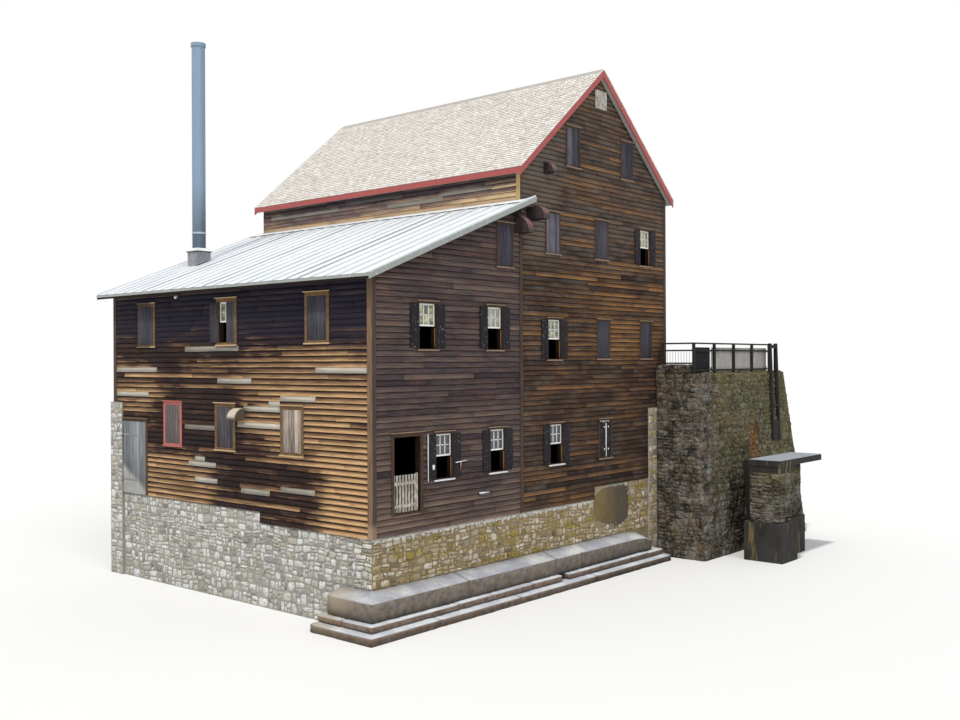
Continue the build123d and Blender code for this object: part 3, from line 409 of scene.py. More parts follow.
BOARDS_LEFT = board_finish(
    "boards_left", (0.014, 0.009, 0.010), (0.050, 0.024, 0.019), (0.155, 0.070, 0.037), (0.84, 0.52, 0.26),
    left_painted_sun, hue=(0.042, 0.030, 0.036), painted_eave_shadow=left_eave_shadow, patchy=2.4, painted_lap_shade=(0.50, 0.80, 0.86),
    edge=2.0)
BOARDS_LEAN = board_finish(
    "boards_lean", (0.030, 0.022, 0.026), (0.114, 0.087, 0.094), (0.185, 0.128, 0.100), (0.36, 0.26, 0.175),
    lean_sun, hue=(0.13, 0.058, 0.044), patchy=1.5)
BOARDS_MAIN = board_finish(
    "boards_main", (0.020, 0.014, 0.013), (0.086, 0.053, 0.039), (0.148, 0.073, 0.035), (0.48, 0.235, 0.080),
    gable_sun, hue=(0.140, 0.119, 0.104), patchy=1.9, painted_lap_shade=(0.66, 0.88, 0.75), edge=2.0,
    hue_where=gable_grey)
BOARDS_STRIP = board_finish(
    "boards_strip", (0.115, 0.075, 0.078), (0.26, 0.175, 0.170), (0.44, 0.27, 0.19), (0.95, 0.72, 0.38),
    strip_sun, hue=(0.24, 0.22, 0.24), painted_eave_shadow=strip_shadow)
BOARDS_FAR = board_finish(
    "boards_far", (0.024, 0.016, 0.013), (0.105, 0.066, 0.044), (0.17, 0.100, 0.06), (0.34, 0.20, 0.10), 0.12)


def wood_finish(name, dark, light, axis, dark_before=None):
    """Plain wood with its grain drawn out along axis 0, 1 or 2. It may be dark before a place along X."""
    f = Finish(name, 0.8)
    stretch = [26.0] * 3
    stretch[axis] = 1.3
    grain = f.noise(1.0, stretch=stretch, detail=5.0, roughness=0.65)
    stain = f.noise(1.6, detail=3.0)
    colour = f.blend((grain * 1.5 - 0.25).between(0, 1), dark, light)
    if dark_before is not None:
        colour = f.blend((f.axis("X") < dark_before) * 1.0, colour, (0.016, 0.017, 0.020))
    return f.done(f.shade(colour, 0.75 + stain * 0.5), 0.65 + grain * 0.3, height=grain, depth=0.003)


WALL_WOOD = wood_finish("wall_wood", (0.012, 0.008, 0.006), (0.040, 0.025, 0.017), 2)
FLOOR_WOOD = wood_finish("floor_wood", (0.10, 0.062, 0.036), (0.25, 0.17, 0.10), 0)
print("finishes:", len(bpy.data.materials))

# %% [markdown]
# ## Clapboards
# A clapboard is a thin wedge: its thick lower edge laps over the thin upper edge of the board below, and
# that step draws the dark line between the rows. The wall in the CAD model is one flat plate, so here the
# rows are laid over it. Each row is cut into boards of 2 to 5 m with staggered joints, and cut again at
# the openings, a little behind the trim. Under a sloping roof the two ends of a board are cut slanting.

# %% Windows and other openings
WIN_W, WIN_H = 0.72, 1.33
LEFT_W, LEFT_H = 0.85, 1.30
ATTIC_W, ATTIC_H = 0.73, 0.67
SECOND_FLOOR, THIRD_FLOOR = 4.35, 7.75
GABLE_SILL = MAIN_EAVE + 0.45
# Places as shares of a wall, and sill heights above the bottom of the boarding
LEAN_SHARES = ((0.440, 1.46), (0.815, 1.46), (0.337, 5.33), (0.798, 5.33), (0.878, 8.0))
MAIN_SHARES = ((0.208, 1.46), (0.535, 1.46), (0.198, 5.02), (0.525, 5.05), (0.842, 5.05), (0.192, 8.62),
               (0.514, 8.62), (0.836, 8.58), (0.325, GABLE_SILL), (0.700, GABLE_SILL))
LEFT_SHARES = ((0.842, 5.59), (0.497, 5.59), (0.170, 5.59), (0.724, 2.23), (0.504, 2.23), (0.256, 2.23))
RIGHT_SHARES, RIGHT_SILLS = (0.254, 0.5, 0.746), (5.05, 8.62)
FRONT_WINDOWS = [(s * LEAN, z) for s, z in LEAN_SHARES]
FRONT_WINDOWS += [(LEAN + s * MAIN_WIDE, z) for s, z in MAIN_SHARES]
OPEN_FRONT = (0, 1, 2, 3, 5, 7, 12)        # those with open leaves and a raised sash
LEFT_WINDOWS = [(s * DEPTH, z) for s, z in LEFT_SHARES]
RIGHT_WINDOWS = [(s * DEPTH, z) for z in RIGHT_SILLS for s in RIGHT_SHARES]
BACK_WINDOWS = [w for w in FRONT_WINDOWS if w[1] > SECOND_FLOOR and not (w[0] < LEAN and w[1] > THIRD_FLOOR)]
ATTIC = (LEAN + 0.515 * MAIN_WIDE, MAIN_EAVE + MAIN_SLOPE * MAIN_WIDE / 2 - 1.158)
BEHIND_TRIM = 0.012


def gaps_of(windows, width, height):
    """Openings as left, right, bottom and top, grown a little so that boards stop behind the trim."""
    grow = BEHIND_TRIM
    return [(x - width / 2 - grow, x + width / 2 + grow, z - grow, z + height + grow) for x, z in windows]


FRONT_DOORWAY, SIDE_DOORWAY = (0.84, 1.94, 0.59, 2.80), (11.34, 12.81, 0.30, 2.91)
FRONT_GAPS = gaps_of(FRONT_WINDOWS, WIN_W, WIN_H) + gaps_of([ATTIC], ATTIC_W, ATTIC_H) + [FRONT_DOORWAY]
LEFT_GAPS = gaps_of(LEFT_WINDOWS, LEFT_W, LEFT_H) + [SIDE_DOORWAY]
BACK_GAPS = gaps_of(BACK_WINDOWS, WIN_W, WIN_H) + gaps_of([ATTIC], ATTIC_W, ATTIC_H)
print(len(FRONT_WINDOWS), "windows on the front,", len(LEFT_WINDOWS), "on the left wall")

# %% Rows cut into boards
SLIVER = 0.02                  # a strip narrower than this isn't made
FIRST_BOARD, NEXT_BOARDS = (0.6, 4.6), (2.2, 4.9)


def split_row(start, end, z0, z1, gaps):
    """The parts of one row that lie outside the gaps, as (start, end, bottom, top)."""
    parts = [(start, end, z0, z1)]
    for g0, g1, gz0, gz1 in gaps:
        cut = []
        for a, b, p0, p1 in parts:
            if g1 <= a or g0 >= b or gz1 <= p0 or gz0 >= p1:
                cut.append((a, b, p0, p1))
                continue
            if g0 > a:
                cut.append((a, g0, p0, p1))
            if g1 < b:
                cut.append((g1, b, p0, p1))
            inner = (max(a, g0), min(b, g1))
            if gz0 - p0 > SLIVER:
                cut.append((*inner, p0, gz0))
            if p1 - gz1 > SLIVER:
                cut.append((*inner, gz1, p1))
        parts = cut
    return parts


def joints_of(a, b, bare):
    """Where one part of a row is cut: at the ends of its new boards, and by chance away from them."""
    cuts = [a, b] + [c for pair in bare for c in pair if a + 0.05 < c < b - 0.05]
    x = a + chance.uniform(*FIRST_BOARD)
    while x < b - 0.5:
        if not any(c0 - 0.4 < x < c1 + 0.4 for c0, c1 in bare):
            cuts.append(x)
        x += chance.uniform(*NEXT_BOARDS)
    return sorted(cuts)


def cut_boards(bottom, top, exposure, limits, gaps, bare):
    """Each board as its ends at the foot, its ends at the head, its bottom and top, and 1 for a new one."""
    found = []
    z = bottom
    while z < top - 0.01:
        z1 = min(z + exposure, top)
        low, mid, high = limits(z + 1e-4), limits((z + z1) / 2), limits(z1 - 1e-4)
        steady = [abs(low[k] - high[k]) < 0.35 for k in (0, 1)]
        ends_low = [low[k] if steady[k] else mid[k] for k in (0, 1)]
        ends_high = [high[k] if steady[k] else mid[k] for k in (0, 1)]
        start, end = min(ends_low[0], ends_high[0]), max(ends_low[1], ends_high[1])
        new_here = [(a, b) for a, b, h in bare if z <= h < z1]
        for a, b, p0, p1 in split_row(start, end, z, z1, gaps):
            cuts = joints_of(a, b, new_here)
            for c0, c1 in zip(cuts[:-1], cuts[1:]):
                row = []
                for ends in (ends_low, ends_high):
                    row += [max(c0, ends[0]), min(c1, ends[1])]
                if c1 - c0 < 0.03 or (row[1] - row[0] < SLIVER and row[3] - row[2] < SLIVER):
                    continue
                row[1], row[3] = max(row[0] + 0.004, row[1]), max(row[2] + 0.004, row[3])
                is_bare = any(f0 - 0.06 < c0 and c1 < f1 + 0.06 for f0, f1 in new_here)
                found.append((*row, p0, p1, float(is_bare)))
        z = z1
    return np.array(found)


# %% Boards as wedges
BUTT, TIP, LAP = 0.019, 0.005, 0.012       # thick lower edge, thin upper edge, and how far that is covered


def clapboards(name, bottom, top, exposure, limits, gaps, place, finish, bare=(), loose=0.15):
    """limits(z) gives the wall's two ends at a height; bare lists (start, end, height) of new boards. The
    share loose of all boards has sprung a little away from the wall."""
    found = cut_boards(bottom, top, exposure, limits, gaps, bare)
    count, stations = len(found), 5
    l0, r0, l1, r1, z0, z1, is_bare = (found[:, k, None] for k in range(7))
    t = np.linspace(0, 1, stations)[None, :]
    joint = np.where(chance.random((count, 1)) < 0.5, 0.0015, 0.003)
    low_x = l0 + joint + (r0 - l0 - 2 * joint) * t
    high_x = l1 + joint + (r1 - l1 - 2 * joint) * t
    butt = BUTT + chance.normal(0, 0.0012, (count, stations)) + chance.uniform(-0.002, 0.002, (count, 1))
    spring = (chance.random((count, 1)) < loose) * chance.uniform(0.002, 0.007, (count, 1))
    butt = np.clip(butt + spring * np.abs(2 * t - 1 - chance.uniform(-1, 1, (count, 1))), 0.012, 0.027)
    sag = chance.normal(0, 0.0018, (count, stations)) + chance.normal(0, 0.0025, (count, 1))
    foot = z0 + sag
    head = z1 + LAP + 0 * t
    zero = 0 * butt
    along = np.stack([low_x, low_x, high_x, high_x], -1)
    out = np.stack([zero - 0.002, butt, zero + TIP, zero - 0.002], -1)
    height = np.stack([foot, foot, head, head], -1)
    rings = np.stack(place(along, out, height + FOOT), -1)
    number = chance.uniform(0.0, 0.99, (count, 1)) + is_bare
    shift = chance.uniform(0, 40, (count, 1, 1))
    up_face = np.broadcast_to(np.array([0.0, 0.0, 1.0, 1.0]), along.shape)
    marks = np.stack([along + shift, up_face, np.broadcast_to(number[..., None], along.shape)], -1)
    bars(name, rings, finish, "clapboard_left" if "left" in name else "clapboard_front", marks=marks)
    print(name, count, "boards")


# %% Where the boarded walls stand and end
FRONT_STEP, FRONT_STEP_UP = 10.9, 0.45         # from here on the front's stonework is this much higher
RIGHT_STONE, RIGHT_STONE_UP = 14.53, 3.13      # where the right wall's stonework turns the corner
LEFT_STEP, LEFT_STEP_UP = 5.0, 0.33            # the step of the left wall's stonework
BACK_STONE, BACK_STONE_UP = 12.82, 3.55        # and the end of the back wall's
LEAN_TOP = LEAN_EAVE + LEAN_SLOPE * LEAN
RIDGE_UNDER = MAIN_EAVE + MAIN_SLOPE * MAIN_WIDE / 2
STRIP_FOOT = LEAN_TOP + 0.16                   # the strip of boarding above the lean-to's roof


def on_front(along, out, z):
    return along, -out, z


def on_left(along, out, z):
    return -out, along, z


def on_strip(along, out, z):
    return LEAN - out, along, z


def on_back(along, out, z):
    return along, DEPTH + out, z


def on_right(along, out, z):
    return TOTAL + out, along, z


def under_gable(z):
    """How far the gabled block's roof has drawn in at a height."""
    return max(0.0, (z - MAIN_EAVE) / MAIN_SLOPE)


def lean_limits(z):
    return max(0.0, (z - LEAN_EAVE) / LEAN_SLOPE), LEAN - 0.03


def gable_limits(z):
    if z < FRONT_STEP_UP:
        right_end = FRONT_STEP
    else:
        right_end = RIGHT_STONE if z < RIGHT_STONE_UP else TOTAL - under_gable(z)
    return LEAN + 0.03 + under_gable(z), right_end


def back_gable_limits(z):
    return LEAN + under_gable(z), TOTAL - under_gable(z)


def left_limits(z):
    return 0.0, (LEFT_STEP if z < LEFT_STEP_UP else (BACK_STONE if z < BACK_STONE_UP else DEPTH))


def whole_depth(z):
    return 0.0, DEPTH


# %% Boards of the walls that show, with the new ones as (start, end, height)
SHOWS_LEFT, SHOWS_LEAN, SHOWS_MAIN = 0.1715, 0.1705, 0.166     # how much of a board shows
BARE_LEFT = [(6.04, 8.98, 5.38), (10.66, 13.3, 4.66), (0.15, 2.36, 4.79), (5.40, 7.17, 4.45),
             (11.18, 13.3, 3.88), (2.36, 3.98, 3.89), (4.0, 4.54, 3.73), (4.0, 5.79, 3.57),
             (4.0, 6.12, 3.06), (7.31, 9.0, 2.88), (7.87, 8.43, 1.85), (7.26, 8.79, 1.69),
             (7.19, 8.44, 1.18), (2.40, 3.99, 1.16), (4.50, 5.94, 0.99)]
BARE_STRIP = [(1.2, 3.6, STRIP_FOOT + 0.6), (5.4, 8.4, STRIP_FOOT + 0.76), (3.4, 6.2, STRIP_FOOT + 0.42),
              (8.8, 12.9, STRIP_FOOT + 0.6)]
clapboards("clapboards_left", 0.0, LEAN_EAVE, SHOWS_LEFT, left_limits, LEFT_GAPS, on_left, BOARDS_LEFT,
           BARE_LEFT, loose=0.35)
clapboards("clapboards_lean", 0.0, LEAN_TOP, SHOWS_LEAN, lean_limits, FRONT_GAPS, on_front, BOARDS_LEAN)
clapboards("clapboards_gable", 0.0, RIDGE_UNDER, SHOWS_MAIN, gable_limits, FRONT_GAPS, on_front, BOARDS_MAIN)
clapboards("clapboards_strip_left", STRIP_FOOT, MAIN_EAVE - 0.03, SHOWS_MAIN, whole_depth, [], on_strip,
           BOARDS_STRIP, BARE_STRIP)

# %% The two hidden walls, above their stonework
BACK_BOARDS, RIGHT_BOARDS = 3.56, 3.14
clapboards("clapboards_back_lean", BACK_BOARDS, LEAN_TOP, SHOWS_LEAN, lean_limits, BACK_GAPS, on_back,
           BOARDS_FAR)
clapboards("clapboards_back_gable", BACK_BOARDS, RIDGE_UNDER, SHOWS_MAIN, back_gable_limits, BACK_GAPS,
           on_back, BOARDS_FAR)
clapboards("clapboards_right", RIGHT_BOARDS, MAIN_EAVE - 0.02, SHOWS_MAIN, whole_depth,
           gaps_of(RIGHT_WINDOWS, WIN_W, WIN_H), on_right, BOARDS_FAR)

# %% [markdown]
# ## Split shingles on the main roof
# Each shingle is a thin wedge as long as two and a half courses, of which the lowest 14 cm shows. Widths
# vary from 9 to 19 cm, and the lower edges are never quite in line, which gives the roof its ragged
# courses. A shingle is a bar with one ring at its butt and one at its head.

# %% Shingles
def shingle_finish():
    """Pale old wood. Each shingle has its own tone, and its butt is darkened with painted shade."""
    f = Finish("shingle_wood", 0.9)
    (_, up, _), whole = f.marks("marks")
    grain = f.noise(1.0, whole, (60.0, 3.0, 37.0), detail=4.0)
    own = f.noise(1.0, whole, (0.0, 0.0, 51.3), detail=0.0)
    weather = f.noise(0.5, detail=3.0)
    ragged = f.noise(3.0, detail=4.0, roughness=0.7)
    colour = f.blend((own * 2.6 - 0.8).between(0, 1), (0.60, 0.545, 0.49), (0.98, 0.94, 0.89))
    colour = f.blend((weather * 1.5 - 0.45).between(0, 1) * 0.6, colour, (0.84, 0.79, 0.72))
    # painted shade along the butt of each shingle
    line = 1 - (up - ragged * 0.12).between(-0.02, 0.045)
    colour = f.shade(f.shade(colour, 0.84 + grain * 0.36), 1 - line * 0.5)
    return f.done(colour, 0.82 + grain * 0.15, height=grain, depth=0.004)


SHINGLE_WOOD = shingle_finish()
ROOF_THICK, RAKE_THICK = 0.16, 0.055
EAVE_OVER, END_OVER = 0.25, 0.20       # how far the roof runs past the walls
COURSE, SHINGLE_LONG, SHINGLE_WIDE = 0.142, 0.33, (0.09, 0.19)


def shingle_cells(courses):
    """Each shingle as its course, and where it starts and ends along the roof."""
    y0, y1 = -END_OVER - RAKE_THICK, DEPTH + END_OVER + RAKE_THICK
    cells = []
    for k in range(courses + 1):
        joints = [y0]
        while joints[-1] < y1 - 0.10:
            joints.append(joints[-1] + chance.uniform(*SHINGLE_WIDE))
        joints[-1] = y1
        cells += [(k, a, b) for a, b in zip(joints[:-1], joints[1:])]
    return np.array(cells)


def shingles(name, side):
    """side is -1 for the slope over the lean-to and 1 for the other; distances run up the slope."""
    cos, sin = math.cos(MAIN_PITCH), math.sin(MAIN_PITCH)
    length = (MAIN_WIDE / 2 + EAVE_OVER) / cos
    cells = shingle_cells(int(length / COURSE))
    count = len(cells)
    start = cells[:, 0] * COURSE - 0.035 + chance.normal(0, 0.006, count)
    start = np.minimum(start, length - 0.06)
    end = np.minimum(start + SHINGLE_LONG, length - 0.01)
    thick = chance.uniform(0.012, 0.019, count)
    lift = chance.uniform(0.0, 0.004, count)
    left, far = cells[:, 1] + 0.002, cells[:, 2] - 0.002
    slant = chance.normal(0, 0.0035, count)
    x_eave = MAIN_MID + side * (MAIN_WIDE / 2 + EAVE_OVER)
    z_eave = FOOT + MAIN_EAVE - MAIN_SLOPE * EAVE_OVER + ROOF_THICK / cos
    butt, head = (start, 0.011 + lift, 0.011 + lift + thick), (end, 0.0 * lift, 0.003 + lift)
    rings = np.empty((count, 2, 4, 3))
    for s, (run, base, top) in enumerate((butt, head)):
        corners = ((left, base, slant), (far, base, -slant), (far, top, -slant), (left, top, slant))
        for c, (y, n, skew) in enumerate(corners):
            d = run + (skew if s == 0 else 0)
            x = x_eave - side * (d * cos + n * -sin)
            rings[:, s, c] = np.stack([x, y, z_eave + d * sin + n * cos], -1)
    marks = np.empty(rings.shape)
    marks[..., 0] = rings[..., 1]
    marks[..., 1] = np.array([0.0, 1.0])[None, :, None]
    marks[..., 2] = chance.uniform(0, 0.99, (count, 1, 1))
    print(name, count, "shingles")
    bars(name, rings, SHINGLE_WOOD, "shingles", marks=marks)


shingles("shingles_left_slope", -1)
shingles("shingles_right_slope", 1)

# %% [markdown]
# ## Rubble
# A rubble wall has no straight courses. The wall is first cut into uneven cells; a cell stays one stone, or
# is cut again into two or three. Then every corner is moved by slow waves and a little by chance. Each
# stone is a domed grid: two parameters from -1 to 1 are pulled in at the corners, so the outline is
# rounded, and the dome rises towards the middle as 1 - r to the sixth power. The CAD face behind them
# shows between the stones as the mortar.

# %% Stones
def stone_cells(levels, along, size, skip):
    """Each cell is (start, end, course, and the shares of the course's height where it begins and ends)."""
    cells = []
    for k in range(len(levels) - 1):
        level = (levels[k] + levels[k + 1]) / 2
        a, b = along(level)
        cuts = [a]
        while cuts[-1] < b - size[0] * 0.9:
            cuts.append(cuts[-1] + chance.uniform(*size))
        cuts[-1] = b
        for c0, c1 in zip(cuts[:-1], cuts[1:]):
            if any(s0 < (c0 + c1) / 2 < s1 and s2 < level < s3 for s0, s1, s2, s3 in skip):
                continue
            kind, split = chance.random(), chance.uniform(0.36, 0.64)
            middle = c0 + (c1 - c0) * chance.uniform(0.38, 0.62)
            if kind < 0.24:
                cells.append((c0, c1, k, 0, 1))
            elif kind < 0.60:
                cells += [(c0, c1, k, 0, split), (c0, c1, k, split, 1)]
            else:
                tall, short = ((c0, middle), (middle, c1)) if kind < 0.8 else ((middle, c1), (c0, middle))
                cells += [(*tall, k, 0, 1), (*short, k, 0, split), (*short, k, split, 1)]
    return np.array(cells)


def sway(a, b, phase):
    """A slow swell over the wall, in metres."""
    return (0.034 * np.sin(1.9 * a + 2.6 * b + phase) + 0.022 * np.sin(4.3 * a - 3.1 * b + 2 * phase)
            + 0.012 * np.sin(9.1 * a + 7.7 * b + 3 * phase))


def stone_corners(cells, levels, along, loose):
    """The four corners of every cell, moved by the swell and by chance, but held at the wall's edges."""
    corner = np.empty((len(cells), 2, 2, 2))
    k = cells[:, 2].astype(int)
    for u in (0, 1):
        for v in (0, 1):
            x, share = cells[:, u], cells[:, 3 + v]
            z = levels[k] * (1 - share) + levels[k + 1] * share
            a, b = along(z)
            inside = np.minimum(np.minimum(x - a, b - x), np.minimum(z - levels[0], levels[-1] - z))
            held = np.clip(inside / 0.2, 0, 1)
            corner[:, u, v, 0] = x + held * (sway(x, z, 0.7) + chance.normal(0, loose, len(x)))
            corner[:, u, v, 1] = z + held * (sway(z, x, 2.9) + chance.normal(0, loose * 0.6, len(x)))
    return corner


def course_levels(heights, rise):
    """Uneven heights of the courses between two levels."""
    levels = [heights[0]]
    while levels[-1] < heights[1] - rise[0] * 0.7:
        levels.append(levels[-1] + chance.uniform(*rise))
    levels = np.array(levels)
    return heights[0] + (levels - heights[0]) * (heights[1] - heights[0]) / (levels[-1] - heights[0])


def rubble(name, along, heights, place, finish, slot, size=(0.16, 0.44), rise=(0.17, 0.30), proud=0.030,
           skip=(), rough=0.005, cells=5, loose=0.016):
    """along(z) gives the two ends of the wall at a height; skip lists (start, end, bottom, top) left bare."""
    levels = course_levels(heights, rise)
    corner = stone_corners(stone_cells(levels, along, size, skip), levels, along, loose)
    count, n = len(corner), cells + 1
    g = np.linspace(-1, 1, n)
    u, v = np.meshgrid(g, g, indexing="ij")
    pull = chance.uniform(0.2, 0.6, (count, 1, 1))
    uu = u * np.sqrt(1 - pull * v * v / 2)
    vv = v * np.sqrt(1 - pull * u * u / 2)
    width = np.maximum(corner[:, 1, 0, 0] - corner[:, 0, 0, 0], 0.05)[:, None, None]
    tall = np.maximum(corner[:, 0, 1, 1] - corner[:, 0, 0, 1], 0.05)[:, None, None]
    gap = chance.uniform(0.001, 0.007, (count, 1, 1))
    uu = uu * (1 - gap / width * 2) * 0.5 + 0.5
    vv = vv * (1 - gap / tall * 2) * 0.5 + 0.5
    flat = []
    for c in (0, 1):
        at = corner[:, :, :, c, None, None]
        lower = at[:, 0, 0] * (1 - uu) * (1 - vv) + at[:, 1, 0] * uu * (1 - vv)
        flat.append(lower + at[:, 0, 1] * (1 - uu) * vv + at[:, 1, 1] * uu * vv)
    r = np.maximum(np.abs(u), np.abs(v))[None]
    rise_of = proud * chance.uniform(0.35, 1.0, (count, 1, 1))
    tilt = chance.normal(0, 0.22, (count, 1, 1)) * u + chance.normal(0, 0.22, (count, 1, 1)) * v
    out = rise_of * (1 - r ** 6) * (1 + tilt) + chance.normal(0, rough, (count, n, n)) * (r < 0.99)
    out = np.where(r > 0.99, -0.006, np.minimum(out, proud))
    jitter = chance.normal(0, 0.006, (2, count, n, n))
    points = np.stack(place(flat[0] + jitter[0], out, flat[1] + jitter[1] + FOOT), -1)
    index = np.arange(count * n * n).reshape(count, n, n)
    quads = np.stack([index[:, :-1, :-1], index[:, 1:, :-1], index[:, 1:, 1:], index[:, :-1, 1:]], -1)
    quads = quads.reshape(-1, 4)
    around = [index[:, :-1, 0], index[:, -1, :-1], index[:, :0:-1, -1], index[:, 0, :0:-1]]
    rim = np.concatenate(around, axis=1)
    origin, east, north = (np.array(place(*spot), dtype=float) for spot in ((5, 0, 5), (6, 0, 5), (5, 0, 6)))
    outward = np.array(place(5, 1, 5), dtype=float) - origin
    if np.dot(np.cross(east - origin, north - origin), outward) > 0:
        rim = rim[:, ::-1]
    else:
        quads = quads[:, ::-1]
    own = np.repeat(chance.random((count, 3)), n * n, axis=0)
    print(name, count, "stones")
    make_piece(name, points.reshape(-1, 3), [quads, rim], finish, slot, marks=own, smooth=True)


def rough_mass(f, colour, tones, share):
    """Clouds of a pale, a brown, a dark and a mossy tone, which run over stones and mortar alike. The moss
    keeps to the front face's upper part, with one rusty stain below the head gate."""
    pale, brown, dark, moss, rust = tones
    x, y, z = f.axis("X"), f.axis("Y"), f.axis("Z")
    cloud = f.noise(1.1, stretch=(1, 1, 0.8), detail=7.0, roughness=0.78)
    other = f.noise(1.9, detail=8.0, roughness=0.8)
    mass = f.blend((cloud * 5.0 - 2.0).between(0, 1), pale, brown)
    mass = f.blend((other * 8.0 - 3.55).between(0, 1), mass, dark)
    on_face = (x + cloud * 2.0).smooth(16.4, 18.2) * (z + cloud * 2.0).smooth(2.6, 4.6)
    spots = f.noise(0.8, stretch=(1, 1, 0.6), detail=7.0, roughness=0.74)
    mass = f.blend(on_face * 0.75 * (1 - (other * 6.0 - 2.6).between(0, 1) * 0.7), mass, moss)
    mass = f.blend((spots * 6.0 + on_face * 0.9 - 3.9).between(0, 1) * 0.85, mass, (0.095, 0.125, 0.018))
    blots = f.noise(1.5, detail=6.0, roughness=0.7)
    mass = f.blend((blots * 7.0 - 4.2).between(0, 1) * 0.8, mass, (0.26, 0.165, 0.065))
    mass = f.blend((blots * -7.0 + 2.75).between(0, 1) * 0.85, mass, (0.012, 0.012, 0.013))
    stain = x.smooth(19.0, 19.5) * (1 - x.smooth(19.7, 20.3)) * z.smooth(2.6, 3.6) * (1 - z.smooth(4.4, 5.2))
    mass = f.blend(stain * (cloud * 3.0 - 0.7).between(0, 1), mass, rust)
    fleck = f.noise(17.0, detail=3.0, roughness=0.8).between(0.66, 0.70) * (other > 0.5)
    mass = f.blend(fleck * 0.7, mass, (0.42, 0.42, 0.39))
    return f.blend(share, colour, mass)


OLD_TONES = ((0.30, 0.29, 0.265), (0.135, 0.088, 0.048), (0.014, 0.013, 0.012), (0.165, 0.135, 0.038),
             (0.26, 0.105, 0.025))


def stone_finish(name, pale, warm, dark, moss, moss_amount, top=None, mass=None):
    """Each stone takes its own tone between pale, warm and dark. Cracks are darkened with painted shade,
    lichen comes in flat patches, and above the height top the wall has a smear of pale mortar."""
    f = Finish(name, 0.9)
    (one, two, _), _ = f.marks("marks")
    grit = f.noise(34.0, detail=4.0, roughness=0.7)
    chunk = f.noise(12.0, detail=5.0, roughness=0.75).between(0.30, 0.70)
    crack = f.noise(8.0, stretch=(1, 1, 1.7), detail=4.0, roughness=0.65).between(0.33, 0.44)
    patch = f.noise(1.1, stretch=(0.8, 0.8, 2.6), detail=5.0, roughness=0.65)
    colour = f.blend((one * 1.3 - 0.15).between(0, 1), pale, warm)
    colour = f.blend(((two - 0.62) * 2.2).between(0, 1), colour, dark)
    colour = f.blend((patch * 2.4 + chunk * 0.4 - 1.55 + moss_amount).between(0, 0.4), colour, moss)
    if top is not None:
        smear = (f.axis("Z") - FOOT + chunk * 0.12).smooth(top - 0.03, top + 0.02)
        smear = smear * (f.axis("Z") < FOOT + 0.02) * (f.axis("X") < FRONT_STEP)
        colour = f.blend(smear * 0.85, colour, (0.66, 0.64, 0.60))
    if mass is not None:
        colour = rough_mass(f, colour, mass, 0.60)
    # painted shade in the cracks
    shade = (0.52 + chunk * 0.50 + grit * 0.42) * (0.34 + crack * 0.66)
    height = grit * 0.4 + chunk * 0.4 + crack * 0.4
    return f.done(f.shade(colour, shade), 0.8 + grit * 0.18, height=height, depth=0.022)


def mortar_finish(name, base, stain, mass=None, top=None):
    """Blotched sandy mortar, which may have the same clouds and the same smear as its stones."""
    f = Finish(name, 0.95)
    grit = f.noise(40.0, detail=4.0, roughness=0.7)
    patch = f.noise(1.4, detail=4.0)
    colour = f.blend((patch * 2.0 - 0.6).between(0, 1), base, stain)
    if mass is not None:
        colour = rough_mass(f, colour, mass, 0.8)
    if top is not None:
        smear = (f.axis("Z") - FOOT).smooth(top - 0.03, top + 0.02) * (f.axis("X") < FRONT_STEP)
        colour = f.blend(smear * 0.85, colour, (0.72, 0.70, 0.66))
    return f.done(f.shade(colour, 0.4 + grit * 1.0), height=grit, depth=0.014)


SMEAR_FOOT = -0.07             # the pale smear starts here, just under the boarding
STONE_FRONT = stone_finish("stone_front", (0.68, 0.60, 0.50), (0.36, 0.270, 0.155), (0.13, 0.100, 0.075),
                           (0.33, 0.245, 0.060), 0.26, top=SMEAR_FOOT)
STONE_LEFT = stone_finish("stone_left", (0.66, 0.66, 0.65), (0.44, 0.41, 0.35), (0.20, 0.19, 0.18),
                          (0.42, 0.35, 0.20), -0.12)
STONE_DARK = stone_finish("stone_dark", (0.20, 0.195, 0.18), (0.115, 0.082, 0.052), (0.032, 0.029, 0.028),
                          (0.125, 0.110, 0.022), 0.05, mass=OLD_TONES)
STONE_WET = stone_finish("stone_wet", (0.23, 0.235, 0.225), (0.10, 0.085, 0.060), (0.026, 0.024, 0.023),
                         (0.13, 0.095, 0.035), -0.15, mass=OLD_TONES)
MORTAR_WARM = mortar_finish("mortar_warm", (0.36, 0.285, 0.18), (0.17, 0.125, 0.042), top=SMEAR_FOOT)
MORTAR_PALE = mortar_finish("mortar_pale", (0.42, 0.40, 0.36), (0.26, 0.25, 0.22))
MORTAR_DARK = mortar_finish("mortar_dark", (0.105, 0.092, 0.070), (0.048, 0.042, 0.030), mass=OLD_TONES)
MORTAR_WET = mortar_finish("mortar_wet", (0.040, 0.038, 0.036), (0.018, 0.016, 0.015), mass=OLD_TONES)

# %% Stones of the foundations
FACE = 0.03                    # the rubble faces are this far behind the boarding
SKIRT_TOP, UNDER_BOARDS = -1.42, -0.01     # levels of the stones, from the bottom of the boarding
BACK_TOP, RIGHT_TOP = 3.52, 3.11
WARM, PALE = {"finish": STONE_FRONT, "slot": "rubble"}, {"finish": STONE_LEFT, "slot": "rubble"}
HIDDEN = {"size": (0.3, 0.8), "rise": (0.28, 0.46), "cells": 3, **PALE}
LOW_WINDOWS = [(x, z) for x, z in FRONT_WINDOWS if z < 2]
LOW_BACK_GAPS = gaps_of(LOW_WINDOWS, WIN_W + 0.2, WIN_H + 0.3)


def foundation_front(a, o, z):
    return a, FACE - o, z


def foundation_left(a, o, z):
    return FACE - o, a, z


